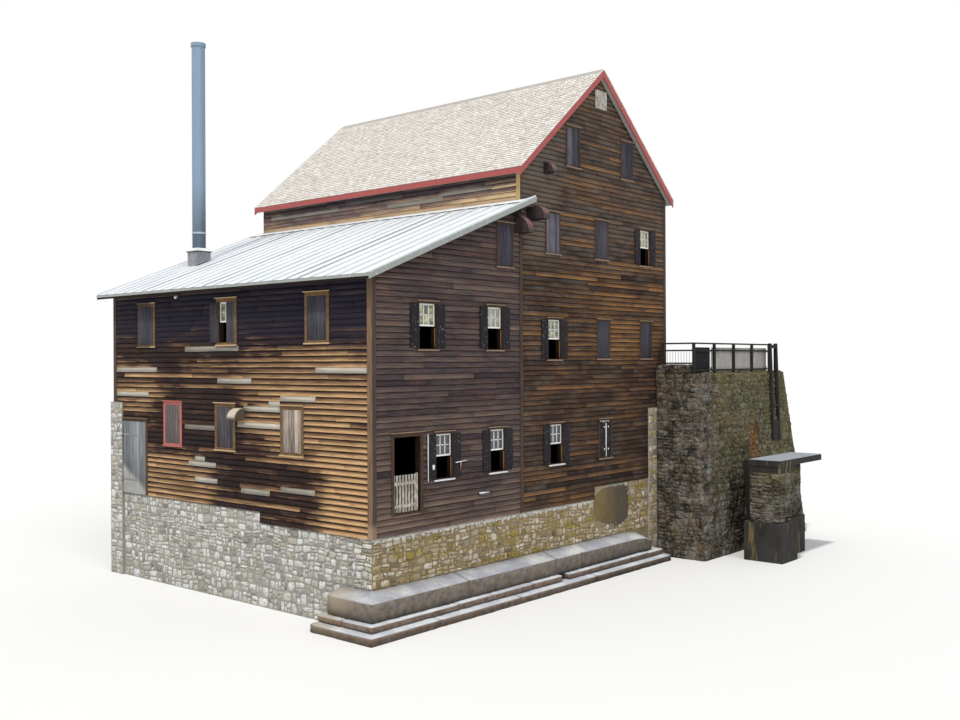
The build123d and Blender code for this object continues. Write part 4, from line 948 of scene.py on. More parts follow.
rubble("stones_front", lambda z: (FACE, FRONT_STEP), (SKIRT_TOP, UNDER_BOARDS), foundation_front, **WARM)
rubble("stones_front_step", lambda z: (FRONT_STEP, 14.5), (SKIRT_TOP, 0.44), foundation_front,
       skip=[(11.0, 12.95, -0.95, 0.5)], **WARM)
rubble("stones_left", lambda z: (FACE, 12.8), (SKIRT_TOP, UNDER_BOARDS), foundation_left, **PALE)
rubble("stones_left_low", lambda z: (1.3, 12.8), (GROUND, SKIRT_TOP), foundation_left, size=(0.2, 0.55),
       rise=(0.2, 0.34), cells=4, **PALE)
rubble("stones_left_step", lambda z: (LEFT_STEP, 12.8), (0.0, 0.32), foundation_left, **PALE)
rubble("stones_back", lambda z: (0.0, TOTAL), (GROUND, BACK_TOP), lambda a, o, z: (a, DEPTH + 0.2 + o, z),
       skip=LOW_BACK_GAPS, **HIDDEN)
rubble("stones_back_end", lambda z: (12.84, 13.6), (GROUND, BACK_TOP), lambda a, o, z: (-0.05 - o, a, z),
       size=(0.2, 0.42), rise=(0.22, 0.36), **PALE)
rubble("stones_right", lambda z: (0.0, 13.6), (GROUND, RIGHT_TOP), lambda a, o, z: (TOTAL + o, a, z),
       **HIDDEN)
rubble("stones_return", lambda z: (RIGHT_STONE, 15.1), (GROUND, RIGHT_TOP), lambda a, o, z: (a, -0.05 - o, z),
       size=(0.2, 0.42), rise=(0.2, 0.34), **WARM)

# %% [markdown]
# ## The abutment and the pier
# The abutment is the oldest stonework: big, dark, mossy stones with deep joints. Its front face leans back
# and its right end spreads towards the foot, so the place of a stone is a formula of its height. The
# stones stand only a few centimetres out of the CAD face, because the solid already has the true size.

# %% Old dark rubble
AB_LEFT, AB_TOP, AB_BASE = 15.1, 22.8, 24.3       # left end, and the right end above and at the foot
AB_HIGH, AB_FRONT, AB_BATTER = 4.45, 1.75, 0.35
AB_FULL = FOOT + AB_HIGH
CURB_WIDE, CURB_FRONT, CURB_TOP = 0.7, AB_FRONT - 0.33, AB_HIGH + 0.3


def abutment_right(z):
    return AB_TOP + (AB_BASE - AB_TOP) * (AB_HIGH - z) / AB_FULL


def abutment_front(a, o, z):
    return a, -(AB_FRONT + AB_BATTER * (AB_FULL - z) / AB_FULL) - o, z


def abutment_end(a, o, z):
    return AB_TOP + (AB_BASE - AB_TOP) * (AB_FULL - z) / AB_FULL + o, a, z


def abutment_reach(z):
    """From the front face to the mill's wall, at a height."""
    return -AB_FRONT - AB_BATTER * (AB_HIGH - z) / AB_FULL, -0.06


OLD = {"proud": 0.05, "rough": 0.013, "loose": 0.040, "slot": "rubble_dark", "finish": STONE_DARK}
CURB = {"size": (0.2, 0.42), "rise": (0.14, 0.2), **OLD}
rubble("stones_abutment_front", lambda z: (AB_LEFT, abutment_right(z)), (GROUND, AB_HIGH), abutment_front,
       size=(0.22, 0.62), rise=(0.24, 0.46), **OLD)
rubble("stones_abutment_left", abutment_reach, (GROUND, AB_HIGH), lambda a, o, z: (AB_LEFT - o, a, z),
       size=(0.2, 0.5), rise=(0.22, 0.44), **OLD)
rubble("stones_abutment_end", abutment_reach, (GROUND, AB_HIGH), abutment_end, size=(0.3, 0.7),
       rise=(0.3, 0.5), cells=4, **OLD)
rubble("stones_abutment_back", lambda z: (TOTAL + 0.02, abutment_right(z)), (GROUND, AB_HIGH),
       lambda a, o, z: (a, -0.05 + o, z), size=(0.35, 0.85), rise=(0.34, 0.6), cells=3, **OLD)
rubble("stones_abutment_top", lambda y: (AB_LEFT + CURB_WIDE, AB_TOP), (-1.72, -0.08),
       lambda a, o, y: (a, y - FOOT, FOOT + AB_HIGH + o), size=(0.3, 0.7), rise=(0.3, 0.5), cells=4, **OLD)
rubble("stones_curb_front", lambda z: (AB_LEFT, AB_LEFT + CURB_WIDE), (AB_HIGH, CURB_TOP),
       lambda a, o, z: (a, -CURB_FRONT - o, z), **CURB)
rubble("stones_curb_left", lambda z: (-CURB_FRONT, -0.06), (AB_HIGH, CURB_TOP),
       lambda a, o, z: (AB_LEFT - o, a, z), **CURB)
rubble("stones_curb_top", lambda y: (AB_LEFT, AB_LEFT + CURB_WIDE), (-CURB_FRONT, -0.08),
       lambda a, o, y: (a, y - FOOT, FOOT + CURB_TOP + o), size=(0.2, 0.42), rise=(0.25, 0.4), **OLD)

# %% Stones of the pier
PIER_LEFT, PIER_RIGHT, PIER_FRONT, PIER_BACK, PIER_STEP = 16.6, 19.6, -4.4, -3.2, -3.9
PIER_FOOT, PIER_CAP = -1.15, 0.71


def nose_right(z):
    """The worn end of the pier is 0.4 m long at its foot and 1 m long under the cap."""
    return PIER_LEFT + np.interp(z, (PIER_FOOT, -0.2, PIER_CAP), (0.4, 0.85, 1.0))


def pier_stones(name, along, place):
    rubble("stones_pier_" + name, along, (PIER_FOOT, PIER_CAP), place, STONE_WET, "rubble_dark",
           size=(0.28, 0.75), rise=(0.13, 0.25), proud=0.05, rough=0.010, loose=0.02)


pier_stones("nose", lambda z: (PIER_LEFT, nose_right(z)), lambda a, o, z: (a, PIER_FRONT - o, z))
pier_stones("side", lambda z: (PIER_FRONT, PIER_STEP), lambda a, o, z: (nose_right(z - FOOT) + o, a, z))
pier_stones("front", lambda z: (nose_right(z), PIER_RIGHT), lambda a, o, z: (a, PIER_STEP - o, z))
pier_stones("left", lambda z: (PIER_FRONT, PIER_BACK), lambda a, o, z: (PIER_LEFT - o, a, z))
pier_stones("back", lambda z: (PIER_LEFT, PIER_RIGHT), lambda a, o, z: (a, PIER_BACK + o, z))
pier_stones("right", lambda z: (PIER_STEP, PIER_BACK), lambda a, o, z: (PIER_RIGHT + o, a, z))

# %% [markdown]
# ## Finishes for the CAD parts
# The remaining CAD nodes keep their own meshes and only get a finish: paint that has worn thin, rusted
# sheet, galvanised roofing, weathered concrete and iron. Each one varies in tone over the surface and has
# a bump for its grain. The roof sheet is bare metal, so it is a mix of metallic and chalky patches.

# %% Paint, metal, concrete and glass
def paint_finish(name, paint, under, wear, roughness=0.6):
    """Paint that is chipped down to what is under it; wear moves the share that is gone."""
    f = Finish(name, roughness)
    chips = f.noise(14.0, stretch=(1, 1, 0.35), detail=5.0, roughness=0.7)
    cloud = f.noise(2.2, detail=3.0)
    worn = (chips * 1.5 + cloud * 0.5 - 1.32 + wear).between(0, 0.12)
    coat = f.shade(f.blend(cloud, paint, tuple(c * 0.82 for c in paint)), 0.8 + chips * 0.35)
    colour = f.blend(worn, coat, under)
    return f.done(colour, 0.5 + worn * 0.35 + cloud * 0.1, height=chips * 0.4 - worn, depth=0.002)


RIB_START, RIB_PITCH = -0.38, (DEPTH + 0.76 - 0.03) / 24       # ribs of the lean-to's roof sheet


def metal_finish(name, base, other, patch_scale, metallic, roughness, stretch=(1, 1, 1), depth=0.001,
                 pans=False, levels=()):
    """levels lists heights above the ground, how far each change spreads, and the colour that follows.
    With pans, the sheet is darkened with painted shade along the foot of each rib of the roof."""
    f = Finish(name, roughness)
    patch = f.noise(patch_scale, stretch=stretch, detail=5.0, roughness=0.65)
    fine = f.noise(40.0, detail=2.0)
    mask = (patch * 2.4 - 0.75).between(0, 1)
    colour = f.blend(mask, base, other)
    for height, spread, tone in levels:
        above = f.axis("Z").between(height - spread, height + spread)
        colour = f.blend(above * (0.75 + mask * 0.25), colour, tone)
    if pans:
        ribs = (f.axis("Y") - RIB_START) * (1 / RIB_PITCH)
        phase = f.add("ShaderNodeMath", {"operation": "FRACT"}, {0: ribs})
        # painted shade beside each rib
        rib_shade = (1 - phase.between(0.05, 0.34)) * (phase > 0.05) + phase.between(0.84, 1.0) * 0.7
        colour = f.shade(colour, 1 - rib_shade * (0.34 + patch * 0.44))
    rough = roughness + 0.22 * (1 - mask) - 0.08
    return f.done(f.shade(colour, 0.85 + fine * 0.25), rough, height=fine, depth=depth,
                  metallic=metallic * (1 - mask * 0.4))


def concrete_finish(name, base, dark, streak, pale, pale_from):
    """Stained faces with rusty streaks. Above the height pale_from the top is paler and bluer."""
    f = Finish(name, 0.9)
    grit = f.noise(48.0, detail=4.0, roughness=0.7)
    cloud = f.noise(1.3, detail=5.0, roughness=0.6)
    run = f.noise(1.0, stretch=(5.0, 5.0, 0.5), detail=3.0)
    colour = f.blend((cloud * 1.8 + run * 0.9 - 0.95).between(0, 1), base, dark)
    colour = f.blend((run * 4.2 - 2.35).between(0, 1), colour, streak)
    top = f.axis("Z").smooth(pale_from - 0.012, pale_from + 0.008)
    colour = f.blend(top * (0.65 + cloud * 0.5), colour, pale)
    height = grit * 0.5 + cloud * 0.3
    return f.done(f.shade(colour, 0.66 + grit * 0.55), 0.8 + grit * 0.18, height=height, depth=0.008)


def deck_top(x):
    """The upper face of the lean-to's roof deck."""
    return FOOT + LEAN_EAVE + LEAN_SLOPE * x + 0.15


RED_TRIM = paint_finish("red_trim", (0.42, 0.080, 0.075), (0.24, 0.14, 0.11), 0.16)
GREEN_TRIM = paint_finish("green_trim", (0.34, 0.36, 0.34), (0.50, 0.51, 0.49), 0.2, 0.5)
WHITE_PAINT = paint_finish("white_paint", (0.93, 0.92, 0.89), (0.50, 0.46, 0.40), 0.02)
WORN_WHITE = paint_finish("worn_white", (0.60, 0.58, 0.52), (0.30, 0.25, 0.20), 0.38)
ROOF_METAL = metal_finish("roof_metal", (0.86, 0.87, 0.89), (0.64, 0.69, 0.74), 0.8, 0.12, 0.50,
                          (0.35, 2.0, 0.35), pans=True)
APRON_METAL = metal_finish("apron_metal", (0.86, 0.86, 0.87), (0.74, 0.75, 0.77), 0.8, 0.12, 0.5,
                           (2.0, 0.35, 0.35))
IRON = metal_finish("dark_iron", (0.030, 0.027, 0.026), (0.075, 0.040, 0.026), 9.0, 0.5, 0.6, depth=0.002)
STACK_X = 2.7
CURB_EDGE = deck_top(STACK_X) + 0.44           # top of the curb round the smoke stack
STACK_LEVELS = [(CURB_EDGE + 0.67, 0.01, (0.44, 0.54, 0.62)), (CURB_EDGE + 0.74, 0.01, (0.080, 0.108, 0.158)),
                (13.4, 0.8, (0.235, 0.330, 0.440))]
STACK_STEEL = metal_finish("stack_steel", (0.064, 0.088, 0.125), (0.100, 0.132, 0.180), 2.0, 0.15, 0.5,
                           (1, 1, 0.2), levels=STACK_LEVELS)
CURB_LEVELS = [(CURB_EDGE - 0.01, 0.004, (0.03, 0.032, 0.035)), (CURB_EDGE + 0.03, 0.004, (0.86, 0.87, 0.88))]
FLASHING = metal_finish("flashing", (0.20, 0.21, 0.24), (0.36, 0.35, 0.36), 3.0, 0.15, 0.5,
                        levels=CURB_LEVELS)


def hood_finish():
    """Blue-black paint with rust on the front hoods, worn pinkish on faces turned up and to the right, where
    it is also a painted highlight. On the left wall, bare sheet on faces turned up and dark brown painted
    shade on the rest.
    """
    f = Finish("hood_sheet", 0.55)
    rust = f.noise(4.0, detail=5.0, roughness=0.65)
    turn = f.add("ShaderNodeNewGeometry", out="Normal")
    normal = [f.add("ShaderNodeSeparateXYZ", {}, {0: turn}, out=k) for k in "XYZ"]
    # painted highlight: the worn tone goes on faces turned up and to the right
    painted_top_light = normal[2].between(0.05, 0.4) + normal[0].between(0.3, 0.7)
    dark = f.blend((rust * 2.2 - 0.8).between(0, 1), (0.012, 0.012, 0.018), (0.075, 0.034, 0.028))
    worn = f.blend((rust * 2.0 - 0.6).between(0, 1), (0.15, 0.062, 0.052), (0.21, 0.120, 0.112))
    front = f.blend(painted_top_light.between(0, 1) * (0.55 + rust * 0.5), dark, worn)
    bare = f.blend((rust * 2.2 - 0.7).between(0, 1), (0.64, 0.55, 0.44), (0.30, 0.24, 0.18))
    # painted shade: dark brown on faces that don't turn up
    cheek = f.blend(normal[2].between(0.05, 0.3), (0.10, 0.075, 0.055), bare)
    colour = f.blend((f.axis("X") < 0.0) * 1.0, front, cheek)
    return f.done(f.shade(colour, 0.75 + rust * 0.5), 0.45 + rust * 0.4, height=rust, depth=0.004)


HOOD_SHEET = hood_finish()
PIER_CONCRETE = concrete_finish("pier_concrete", (0.050, 0.046, 0.044), (0.018, 0.016, 0.016),
                                (0.30, 0.235, 0.085), (0.36, 0.395, 0.44), 3.79)


def cast_finish(name, face, stain, top, white, warm, flecks, wet):
    """Upward faces take the top tones, upright ones the face tones with dark flecks, darker still from a
    little above the height wet downwards. The faces of the left wall's side are warmer."""
    f = Finish(name, 0.9)
    turn = f.add("ShaderNodeNewGeometry", out="Normal")
    across, _, rise = (f.add("ShaderNodeSeparateXYZ", {}, {0: turn}, out=k) for k in "XYZ")
    cloud = f.noise(0.9, detail=5.0, roughness=0.65)
    small = f.noise(5.0, detail=6.0, roughness=0.75)
    grit = f.noise(42.0, detail=4.0, roughness=0.75)
    body = f.blend((small * 2.6 - 0.9).between(0, 1), face, stain)
    on_left = (across < -0.6) * f.axis("Y").smooth(-0.2, 1.0)
    body = f.blend(on_left * (small * 1.2 - 0.25).between(0, 1), body, warm)
    damp = (1 - f.axis("Z").smooth(wet, wet + 0.22)) * 0.5
    body = f.shade(body, 1 - damp - f.axis("X").smooth(7.0, 11.0) * 0.22)
    pits = f.noise(11.0, stretch=(1, 1, 1.8), detail=4.0, roughness=0.8).between(0.60, 0.66)
    body = f.shade(body, 1 - pits * flecks)
    cap = f.blend((cloud * 3.2 + small * 1.2 - 1.9).between(0, 1), top, white)
    cap = f.blend((f.axis("X") < -0.02) * f.axis("Y").smooth(0.1, 1.1) * (0.35 + small * 0.4), cap, warm)
    colour = f.blend(rise.between(0.35, 0.75), body, cap)
    height = grit * 0.4 + small * 0.6
    return f.done(f.shade(colour, 0.68 + grit * 0.5), 0.8 + grit * 0.18, height=height, depth=0.02)


CAST_SKIRT = cast_finish("cast_skirt", (0.27, 0.225, 0.190), (0.085, 0.073, 0.062), (0.36, 0.37, 0.42),
                         (0.66, 0.665, 0.66), (0.50, 0.41, 0.28), flecks=0.65, wet=0.42)
SLAB_STONE = cast_finish("slab_stone", (0.30, 0.225, 0.18), (0.085, 0.062, 0.042), (0.48, 0.50, 0.54),
                         (0.80, 0.81, 0.82), (0.34, 0.27, 0.17), flecks=0.7, wet=0.03)
DARK_TIMBER = wood_finish("dark_timber", (0.012, 0.011, 0.011), (0.040, 0.034, 0.030), 2)
GREY_BOARDS = wood_finish("grey_boards", (0.10, 0.105, 0.11), (0.34, 0.345, 0.35), 2)
PALE_FENCE = wood_finish("pale_fence", (0.16, 0.150, 0.135), (0.56, 0.53, 0.49), 2, dark_before=16.62)


def corner_finish():
    """Tan on the left wall's faces, dark brown on the front, and a paler foot beside the corner."""
    f = Finish("corner_wood", 0.8)
    grain = f.noise(1.0, stretch=(26, 26, 1.3), detail=5.0, roughness=0.65)
    stain = f.noise(1.3, detail=3.0)
    x, y, z = f.axis("X"), f.axis("Y"), f.axis("Z")
    brown = f.blend((grain * 1.5 - 0.25).between(0, 1), (0.034, 0.024, 0.020), (0.110, 0.076, 0.062))
    tan = f.blend((grain * 1.7 - 0.35).between(0, 1), (0.060, 0.037, 0.025), (0.29, 0.185, 0.115))
    colour = f.blend((x < 0.001) * (y < 13.0), brown, tan)
    high_strip = (x > 6.0) * (x < 7.5) * (z > FOOT + 9.8)
    colour = f.blend(high_strip * 0.8, colour, (0.62, 0.44, 0.20))
    foot = (1 - z.smooth(FOOT + 0.25, FOOT + 0.5)) * (x < 0.5)
    colour = f.blend(foot * 0.4, colour, (0.46, 0.33, 0.21))
    return f.done(f.shade(colour, 0.72 + stain * 0.55), 0.66 + grain * 0.3, height=grain, depth=0.003)


CORNER_WOOD = corner_finish()


def casing_finish():
    """Dark brown on the front, tan on the left wall, and one red painted frame there."""
    f = Finish("casing_wood", 0.8)
    grain = f.noise(1.0, stretch=(9, 9, 9), detail=5.0, roughness=0.7)
    cloud = f.noise(1.7, detail=3.0)
    x, y, z = f.axis("X"), f.axis("Y"), f.axis("Z")
    on_left_wall = x < -0.0005
    red_one = (y > 9.0) * (y < 10.5) * (z < FOOT + 4.0) * on_left_wall
    brown = f.blend((grain * 1.5 - 0.3).between(0, 1), (0.036, 0.022, 0.017), (0.115, 0.068, 0.044))
    low_sill = (z < FOOT + 2.0) * (x < 11.0)
    ledge = f.blend(low_sill, (0.30, 0.215, 0.155), (0.86, 0.86, 0.87))
    brown = f.blend((y < -0.0315) * (y > -0.3) * (0.55 + grain * 0.6), brown, ledge)
    tan = f.blend((grain * 1.8 - 0.4).between(0, 1), (0.055, 0.032, 0.018), (0.25, 0.150, 0.075))
    tan = f.blend((x < -0.0315) * (x > -0.3) * 0.8, tan, (0.58, 0.42, 0.24))
    tan = f.blend((y > 11.0) * 0.75, tan, (0.060, 0.040, 0.028))
    colour = f.blend(on_left_wall, brown, tan)
    flaked = (grain * 2.2 - 1.0 + cloud * 0.5).between(0, 1)
    worn_red = f.blend(flaked, (0.46, 0.115, 0.105), (0.36, 0.19, 0.155))
    colour = f.blend(red_one, colour, worn_red)
    return f.done(f.shade(colour, 0.72 + cloud * 0.5), 0.65 + grain * 0.3, height=grain, depth=0.002)


CASING_WOOD = casing_finish()


def glass_finish():
    """Painted reflections: dim panes in the low windows, bright and mottled ones in the high windows,
    duller near the seam.
    """
    f = Finish("window_glass", 0.08, IOR=1.5)
    mottle = f.noise(3.2, stretch=(1, 1, 1.6), detail=4.0, roughness=0.7)
    high_up = (f.axis("Z") - FOOT).smooth(4.0, 5.5)
    # painted reflection: bright, mottled yellow-green in the high panes
    bright = f.blend((mottle * 3.6 - 1.5).between(0, 1), (0.10, 0.11, 0.06), (0.62, 0.60, 0.38))
    near_seam = f.axis("X").between(4.2, 4.6) * (f.axis("X") < 6.0)
    bright = f.blend(near_seam * 0.55, bright, (0.34, 0.35, 0.32))
    dim = f.blend(mottle, (0.02, 0.022, 0.03), (0.12, 0.12, 0.13))
    return f.done(f.blend(high_up, dim, bright))


GLASS = glass_finish()

# %% Which finish each CAD node gets
def dress(node, finish):
    """Gives a CAD node's object one finish."""
    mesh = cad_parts[node].data
    mesh.materials.clear()
    mesh.materials.append(finish)


FINISH_OF = {
    "foundation_front": MORTAR_WARM, "foundation_left": MORTAR_PALE, "foundation_middle": MORTAR_PALE,
    "back_stone_wall": MORTAR_PALE, "right_stone_wall": MORTAR_PALE, "abutment_wall": MORTAR_DARK,
    "pier_stone": MORTAR_WET, "pier_concrete": PIER_CONCRETE, "concrete_skirt": CAST_SKIRT,
    "footing_slabs": SLAB_STONE, "sluice_boards": DARK_TIMBER, "head_gate": DARK_TIMBER,
    "railing": DARK_TIMBER, "board_fence": PALE_FENCE, "ground_floor": FLOOR_WOOD,
    "upper_floors": FLOOR_WOOD, "main_roof": SHINGLE_WOOD, "ridge_cap": SHINGLE_WOOD,
    "rake_boards": RED_TRIM, "eave_fascias": RED_TRIM, "lean_roof_deck": WALL_WOOD,
    "lean_roof_metal": ROOF_METAL, "lean_trim": GREEN_TRIM, "corner_boards": CORNER_WOOD,
    "window_casings": CASING_WOOD, "sashes": WHITE_PAINT, "sash_glass": GLASS, "door_frames": CASING_WOOD,
    "picket_gate": WORN_WHITE, "side_door": GREY_BOARDS, "dust_hoods": HOOD_SHEET, "hinge_pins": IRON,
    "smoke_stack": STACK_STEEL, "stack_curb": FLASHING, "attic_shutters": WORN_WHITE,
    "window_shutters": GREY_BOARDS,
}
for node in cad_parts:
    dress(node, FINISH_OF.get(node, WALL_WOOD))
print(len(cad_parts), "CAD nodes dressed")

# %% [markdown]
# ## Cast skirt and footing slabs
# The concrete skirt and the slabs below it turn the near corner together. Both are drawn as courses: a
# profile is carried along the front, through the mitre at the corner, and a little way up the left
# wall. A course is cast or laid in blocks, so it breaks at the joints, and its outer edge wanders.

# %% Courses that turn the corner
def course_rings(joints, profile, gap, wander, sink, stations=22):
    """Positions run from -y on the left wall to +x on the front. At 0 the ring lies in the mitre plane, and
    each station pulls the outer corners back by chance, by no more than wander, and down by up to sink."""
    blocks = []
    for start, end in zip(joints[:-1], joints[1:]):
        s = np.linspace(start + gap / 2, end - gap / 2, stations)
        if s[0] < 0 < s[-1]:
            s[np.argmin(np.abs(s))] = 0.0
        outer = profile[:, 0] > 0.3
        rough = chance.uniform(0, 1, (stations, 1)) * 0.6 + chance.uniform(0, 0.4)
        rough = rough * np.clip(np.abs(s) / 0.3, 0, 1)[:, None]
        ease = np.minimum(1, 0.35 + np.minimum(s - s[0], s[-1] - s) / 0.15)[:, None]
        reach, high = profile[None, :, 0], profile[None, :, 1]
        p = reach - outer * (rough * wander + (1 - ease) * 0.02)
        z = high - (high > high.max() - 0.2) * outer * rough * sink
        z = z - (high > high.max() - 0.05) * chance.uniform(0, sink * 0.6)
        at = s[:, None]
        x = np.where(at <= 0, -p, FACE + at + 0 * p)
        y = np.where(at < 0, FACE - at + 0 * p, -p)
        blocks.append(np.stack([x, y, z + 0 * p], -1))
    return np.array(blocks)


# Profiles as (how far out, how high); joints as metres from the corner, left of it negative
SKIRT_PROFILE = np.array([(-0.028, 1.179), (0.515, 1.003), (0.548, 0.965), (0.545, 0.75), (0.548, 0.471),
                          (-0.028, 0.471)])
SKIRT_JOINTS = [-1.26, 3.47, 7.9, 9.3, 13.86]
skirt_rings = course_rings(SKIRT_JOINTS, SKIRT_PROFILE, 0.010, 0.012, 0.012)
worn_end = np.interp(skirt_rings[-1, :, :, 0], (12.9, 13.5, 13.9), (0, 0.05, 0.20))
skirt_rings[-1, :, :, 2] -= np.where(skirt_rings[-1, :, :, 2] > 0.9, worn_end, 0.0)
skirt = bars("skirt_blocks", skirt_rings, CAST_SKIRT, "concrete")
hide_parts("concrete_skirt")

SLAB_PROFILE = np.array([(-0.028, 0.469), (0.70, 0.469), (0.757, 0.445), (0.742, 0.37), (0.757, 0.30),
                         (0.70, 0.251), (-0.028, 0.251)])
LEDGE_PROFILE = np.array([(-0.028, 0.25), (0.94, 0.25), (1.017, 0.215), (1.0, 0.13), (1.017, 0.06),
                          (1.01, 0.0), (-0.028, 0.0)])
slab_rings = np.concatenate([
    course_rings([-1.46, -0.5, 2.8, 4.35, 6.4, 7.97], SLAB_PROFILE, 0.012, 0.07, 0.035),
    course_rings([8.35, 10.2, 12.2, 13.3, 14.36], SLAB_PROFILE, 0.012, 0.10, 0.05),
    course_rings([-1.46, 1.7, 5.4, 9.6, 14.5], LEDGE_PROFILE, 0.004, 0.05, 0.02)])
footing = bars("footing_stones", slab_rings, SLAB_STONE, "limestone_slab")
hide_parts("footing_slabs")
print(len(skirt_rings), "skirt blocks,", len(slab_rings), "slabs")

# %% [markdown]
# ## The cement patch
# On the right half of the front foundation a broad smear of cement covers the stones. Its outline is a top
# and a bottom line over the length of the wall, and it swells gently in the middle.

# %% A smear over the stones
PATCH_ENDS = (10.92, 13.16)
PATCH_TOP = (10.9, 11.05, 11.5, 13.2), (0.08, 0.27, 0.42, 0.437)
PATCH_BOTTOM = ((10.9, 11.0, 11.25, 11.9, 12.3, 12.75, 13.05, 13.2),
                (-0.62, -0.80, -0.86, -1.16, -1.24, -1.12, -0.98, -0.9))
PATCH_STEPS, UP_FRONT = 30, 13


def patch_finish():
    """Brown cement, stained and streaked, with a paler rim."""
    f = Finish("cement_patch", 0.85)
    (rim, across, _), _ = f.marks("marks")
    run = f.noise(1.0, stretch=(3.2, 3.2, 0.8), detail=5.0, roughness=0.65)
    grit = f.noise(30.0, detail=4.0, roughness=0.7)
    greyer = (across * 0.8 - 0.6 + run * 0.8).between(0, 1)
    colour = f.blend(greyer, (0.200, 0.145, 0.062), (0.098, 0.078, 0.060))
    blot = f.noise(2.4, detail=6.0, roughness=0.75)
    colour = f.blend((blot * 4.0 - 2.0).between(0, 1) * 0.7, colour, (0.085, 0.066, 0.040))
    colour = f.blend((run * 3.2 - 1.9).between(0, 1) * 0.5, colour, (0.30, 0.235, 0.13))
    colour = f.blend((rim + run * 0.2).between(0.96, 1.06) * 0.8, colour, (0.42, 0.40, 0.35))
    height = run * 0.6 + grit * 0.3
    return f.done(f.shade(colour, 0.70 + grit * 0.5), 0.8 + grit * 0.15, height=height, depth=0.02)


def cement_patch():
    """A ring of points per station: 13 up the front, rounded off at both ends, and 2 down the back."""
    x = np.linspace(*PATCH_ENDS, PATCH_STEPS)
    top = np.interp(x, *PATCH_TOP) + chance.normal(0, 0.012, PATCH_STEPS)
    bottom = np.interp(x, *PATCH_BOTTOM) + chance.normal(0, 0.035, PATCH_STEPS)
    v = np.linspace(0, 1, UP_FRONT)[None, :]
    z = bottom[:, None] + (np.minimum(top, PATCH_TOP[1][-1]) - bottom)[:, None] * v
    ends = np.minimum(1, np.minimum(x - x[0], x[-1] - x) / 0.12)[:, None]
    wave = 0.028 + 0.010 * np.sin(x * 3.1)[:, None] * np.cos(v * 5.0)
    swell = (1 - (2 * v - 1) ** 8) * (0.35 + 0.65 * ends) * wave
    front = np.stack([x[:, None] + 0 * v, FACE - swell - 0.001, FOOT + z], -1)
    back = np.stack([np.stack([x, 0 * x + FACE + 0.01, FOOT + z[:, k]], -1) for k in (-1, 0)], 1)
    rings = np.concatenate([front, back], axis=1)
    edge = np.concatenate([np.abs(2 * v - 1) + 0 * x[:, None], np.ones((PATCH_STEPS, 2))], axis=1)
    marks = np.stack([edge, rings[:, :, 0] - 11, rings[:, :, 2]], -1)
    bars("cement_patch", rings[None], patch_finish(), "rubble", marks=marks[None], smooth=True)


cement_patch()

# %% [markdown]
# ## Planks of the side door and small fittings
# The side door is faced with seven planks, bare and grey, and its foot is worn white. Small things on the
# walls are rods and blocks: a short stub, a latch rod, a lamp, the strips beside the windows, and the thin
# uprights of the railing.

# %% Door planks and round rods
def plank_finish():
    """Grey planks with a bright, worn foot that ends in a slanting line."""
    f = Finish("door_planks", 0.85)
    (own, _, _), _ = f.marks("marks")
    grain = f.noise(1.0, stretch=(24, 24, 1.2), detail=5.0, roughness=0.7)
    stain = f.noise(1.2, detail=4.0)
    foot = 1 - (f.axis("Z") + (f.axis("Y") - 12.0) * -0.55).smooth(3.35, 3.65)
    pale = (grain * 1.9 + own * 0.5 - 0.75).between(0, 1)
    colour = f.blend(pale, (0.085, 0.095, 0.110), (0.34, 0.345, 0.36))
    colour = f.blend(foot * (grain * 1.2).between(0, 1), colour, (0.70, 0.68, 0.64))
    return f.done(f.shade(colour, 0.62 + stain * 0.7), 0.7 + grain * 0.25, height=grain, depth=0.003)


def rods(ends, radius, sides=10):
    """Round rods between pairs of points: a circle square to each rod is carried from end to end."""
    ends = np.asarray(ends, dtype=float)
    along = ends[:, 1] - ends[:, 0]
    along /= np.linalg.norm(along, axis=1)[:, None]
    aside = np.where(np.abs(along[:, 2:]) > 0.9, (1.0, 0, 0), (0, 0, 1.0))
    u = np.cross(along, aside)
    u /= np.linalg.norm(u, axis=1)[:, None]
    v = np.cross(along, u)
    turn = np.linspace(0, 2 * np.pi, sides, endpoint=False)
    circle = radius * (np.cos(turn)[None, :, None] * u[:, None] + np.sin(turn)[None, :, None] * v[:, None])
    return ends[:, :, None, :] + circle[:, None]


PLANKS, DOOR_START, DOOR_WIDE = 7, 11.364, 1.422
DOOR_FOOT, DOOR_TOP = 2.944, 5.486
PLANK_OUT, PLANK_IN, PLANK_GAP = -0.0385, -0.0345, 0.004
widths = np.cumsum([0.0] + list(chance.uniform(0.85, 1.15, PLANKS)))
edges = DOOR_START + widths / widths[-1] * DOOR_WIDE
plank_feet = DOOR_FOOT + chance.uniform(0, 0.02, PLANKS)
plank_low = np.stack([np.full(PLANKS, PLANK_OUT), edges[:-1] + PLANK_GAP, plank_feet], -1)
plank_high = np.stack([np.full(PLANKS, PLANK_IN), edges[1:] - PLANK_GAP, np.full(PLANKS, DOOR_TOP)], -1)
plank_rings = block_rings(plank_low, plank_high, 2)
bars("door_planks", plank_rings, plank_finish(), "grey_boards", body="side_door",
     marks=chance.random((PLANKS, 1, 1, 3)) * np.ones(plank_rings.shape))

# %% Window stops, railing bars and the roof's apron
OPEN_WINDOWS = [FRONT_WINDOWS[k] for k in OPEN_FRONT]
stops_low = [(x + WIN_W / 2 - 0.034, 0.012, FOOT + z + 0.01) for x, z in OPEN_WINDOWS]
stops_high = [(x + WIN_W / 2 - 0.002, 0.040, FOOT + z + 0.62) for x, z in OPEN_WINDOWS]
TAN_STRIP = wood_finish("tan_strip", (0.15, 0.070, 0.024), (0.36, 0.195, 0.080), 2)
bars("window_stops", block_rings(stops_low, stops_high, 2), TAN_STRIP, "casing_wood")

uprights = [[(15.267, y, 7.415), (15.267, y, 7.89)] for y in np.arange(-1.52, -0.22, 0.12)]
uprights += [[(x, -1.583, 7.20), (x, -1.583, 7.88)] for x in np.arange(15.43, 16.8, 0.125)]
bars("railing_bars", rods(uprights, 0.008, 6), DARK_TIMBER, "dark_timber")


